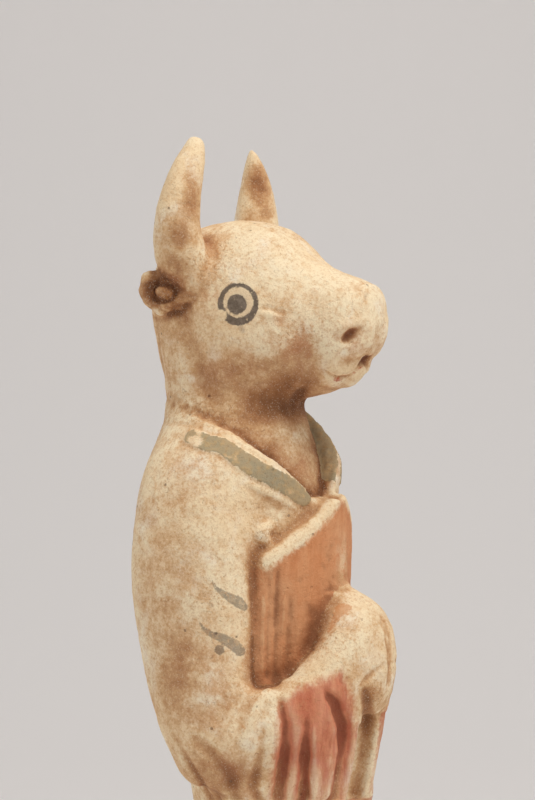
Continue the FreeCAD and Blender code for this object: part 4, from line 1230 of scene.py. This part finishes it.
    # relief under a fingernail: grain, pits and paint edges
    hgt = s.mad(s.sub(fine, 0.5), 0.9, s.mul(s.sub(grain, 0.5), 0.55))
    hgt = s.mad(s.sub(speck, 0.5), 0.7, hgt)
    hgt = s.mad(s.attr("crust"), s.mul(s.sub(speck, 0.5), 1.6), hgt)
    hgt = s.mad(pit, -1.6, hgt)
    hgt = s.add(hgt, s.mul(s.step(s.noise(1.9, 3.0, 0.6), 0.66, 0.60), 0.5))
    if not bare:
        hgt = s.add(hgt, paint_bump)
    bump = s.t.nodes.new("ShaderNodeBump")
    bump.inputs["Strength"].default_value = 0.75
    bump.inputs["Distance"].default_value = 0.00022
    s.put(bump.inputs["Height"], hgt)
    bsdf = s.t.nodes.new("ShaderNodeBsdfPrincipled")
    out = s.t.nodes.new("ShaderNodeOutputMaterial")
    s.t.links.new(bsdf.outputs[0], out.inputs["Surface"])
    s.put(bsdf.inputs["Base Color"], col)
    s.put(bsdf.inputs["Roughness"], s.mad(mid, 0.16, s.mad(fine, 0.12, 0.68)))
    s.t.links.new(bump.outputs[0], bsdf.inputs["Normal"])
    bsdf.inputs["Specular IOR Level"].default_value = 0.28
    return s.mat


CLAY, BARE = clay_material("painted_clay"), clay_material("bare_clay", bare=True)
for name, ob in pieces.items():
    ob.data.materials.append(CLAY)
    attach(ob, "root")
    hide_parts(name)
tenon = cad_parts["neck_tenon"]
tenon.data.materials.clear()
tenon.data.materials.append(BARE)

# ------------------------------------------------------------------------------------ stage, light, camera
def plain(name, color, rough):
    m = bpy.data.materials.new(name)
    m.use_nodes = True
    b = m.node_tree.nodes["Principled BSDF"]
    b.inputs["Base Color"].default_value = color
    b.inputs["Roughness"].default_value = rough
    b.inputs["Specular IOR Level"].default_value = 0.1
    return m


def sweep():
    """A pale floor that curves up into a backdrop behind the figure, as seen from the camera."""
    side = Vector((RIGHT[0], -RIGHT[1], 0))
    back = Vector((-TOC[0], TOC[1], 0)).normalized()
    prof = [(-3.0, 0.0), (0.45, 0.0)] + [(0.45 + 0.5 * math.sin(a), 0.5 - 0.5 * math.cos(a)) for a in np.linspace(0.12, math.pi / 2, 14)] + [(0.95, 2.6)]
    verts, faces = [], []
    for w in (-3.0, 3.0):
        for d_, h_ in prof:
            verts.append(side * w + back * d_ + Vector((0, 0, h_)))
    n = len(prof)
    for k in range(n - 1):
        faces.append((k, n + k, n + k + 1, k + 1))
    me = bpy.data.meshes.new("sweep")
    me.from_pydata(verts, [], faces)
    for p_ in me.polygons:
        p_.use_smooth = True
    ob = bpy.data.objects.new("sweep", me)
    bpy.context.scene.collection.objects.link(ob)
    me.materials.append(plain("pale_paper", (0.90, 0.875, 0.865, 1), 0.9))
    return ob


sweep()

world = bpy.data.worlds.new("studio")
bpy.context.scene.world = world
world.use_nodes = True
bg = world.node_tree.nodes["Background"]
bg.inputs["Color"].default_value = (1.0, 0.985, 0.97, 1)
bg.inputs["Strength"].default_value = 0.36


def row(x, f, z):
    return Vector((x, AXIS_Y - f, z)) / 1000.0


def area(name, place, target, size, power, color=(1, 1, 1)):
    l = bpy.data.lights.new(name, "AREA")
    l.shape, l.size, l.energy, l.color = "DISK", size, power, color
    ob = bpy.data.objects.new(name, l)
    ob.location = place
    ob.rotation_mode = "QUATERNION"
    ob.rotation_quaternion = (target - place).to_track_quat("-Z", "Y")
    bpy.context.scene.collection.objects.link(ob)


look = row(0, 0, 200)
cam_dir = Vector((TOC[0], -TOC[1], 0)).normalized()
cam_right = Vector((RIGHT[0], -RIGHT[1], 0))
up_v = Vector((0, 0, 1))
area("key", look + up_v * 0.75 + cam_right * 0.25 + cam_dir * 0.30, look, 0.55, 4.8, (1.0, 0.97, 0.93))
area("fill_left", look + up_v * 0.35 - cam_right * 0.80 + cam_dir * 0.20, look, 0.7, 1.5, (1.0, 0.99, 0.98))
area("fill_right", look + up_v * 0.25 + cam_right * 0.80 + cam_dir * 0.35, look, 0.7, 0.9, (1.0, 0.97, 0.94))

cam = bpy.data.cameras.new("camera")
cam.lens = FPX / 800.0 * 36.0
cam.sensor_width = 36.0
cam.clip_start, cam.clip_end = 0.01, 20.0
cam_ob = bpy.data.objects.new("camera", cam)
bpy.context.scene.collection.objects.link(cam_ob)
cam_ob.location = row(*EYE)
cam_ob.rotation_mode = "QUATERNION"
cam_ob.rotation_quaternion = (row(*AIM) - row(*EYE)).to_track_quat("-Z", "Y")
bpy.context.scene.camera = cam_ob

view = bpy.context.scene.view_settings
view.view_transform, view.look, view.exposure, view.gamma = "Standard", "None", 0.0, 1.0
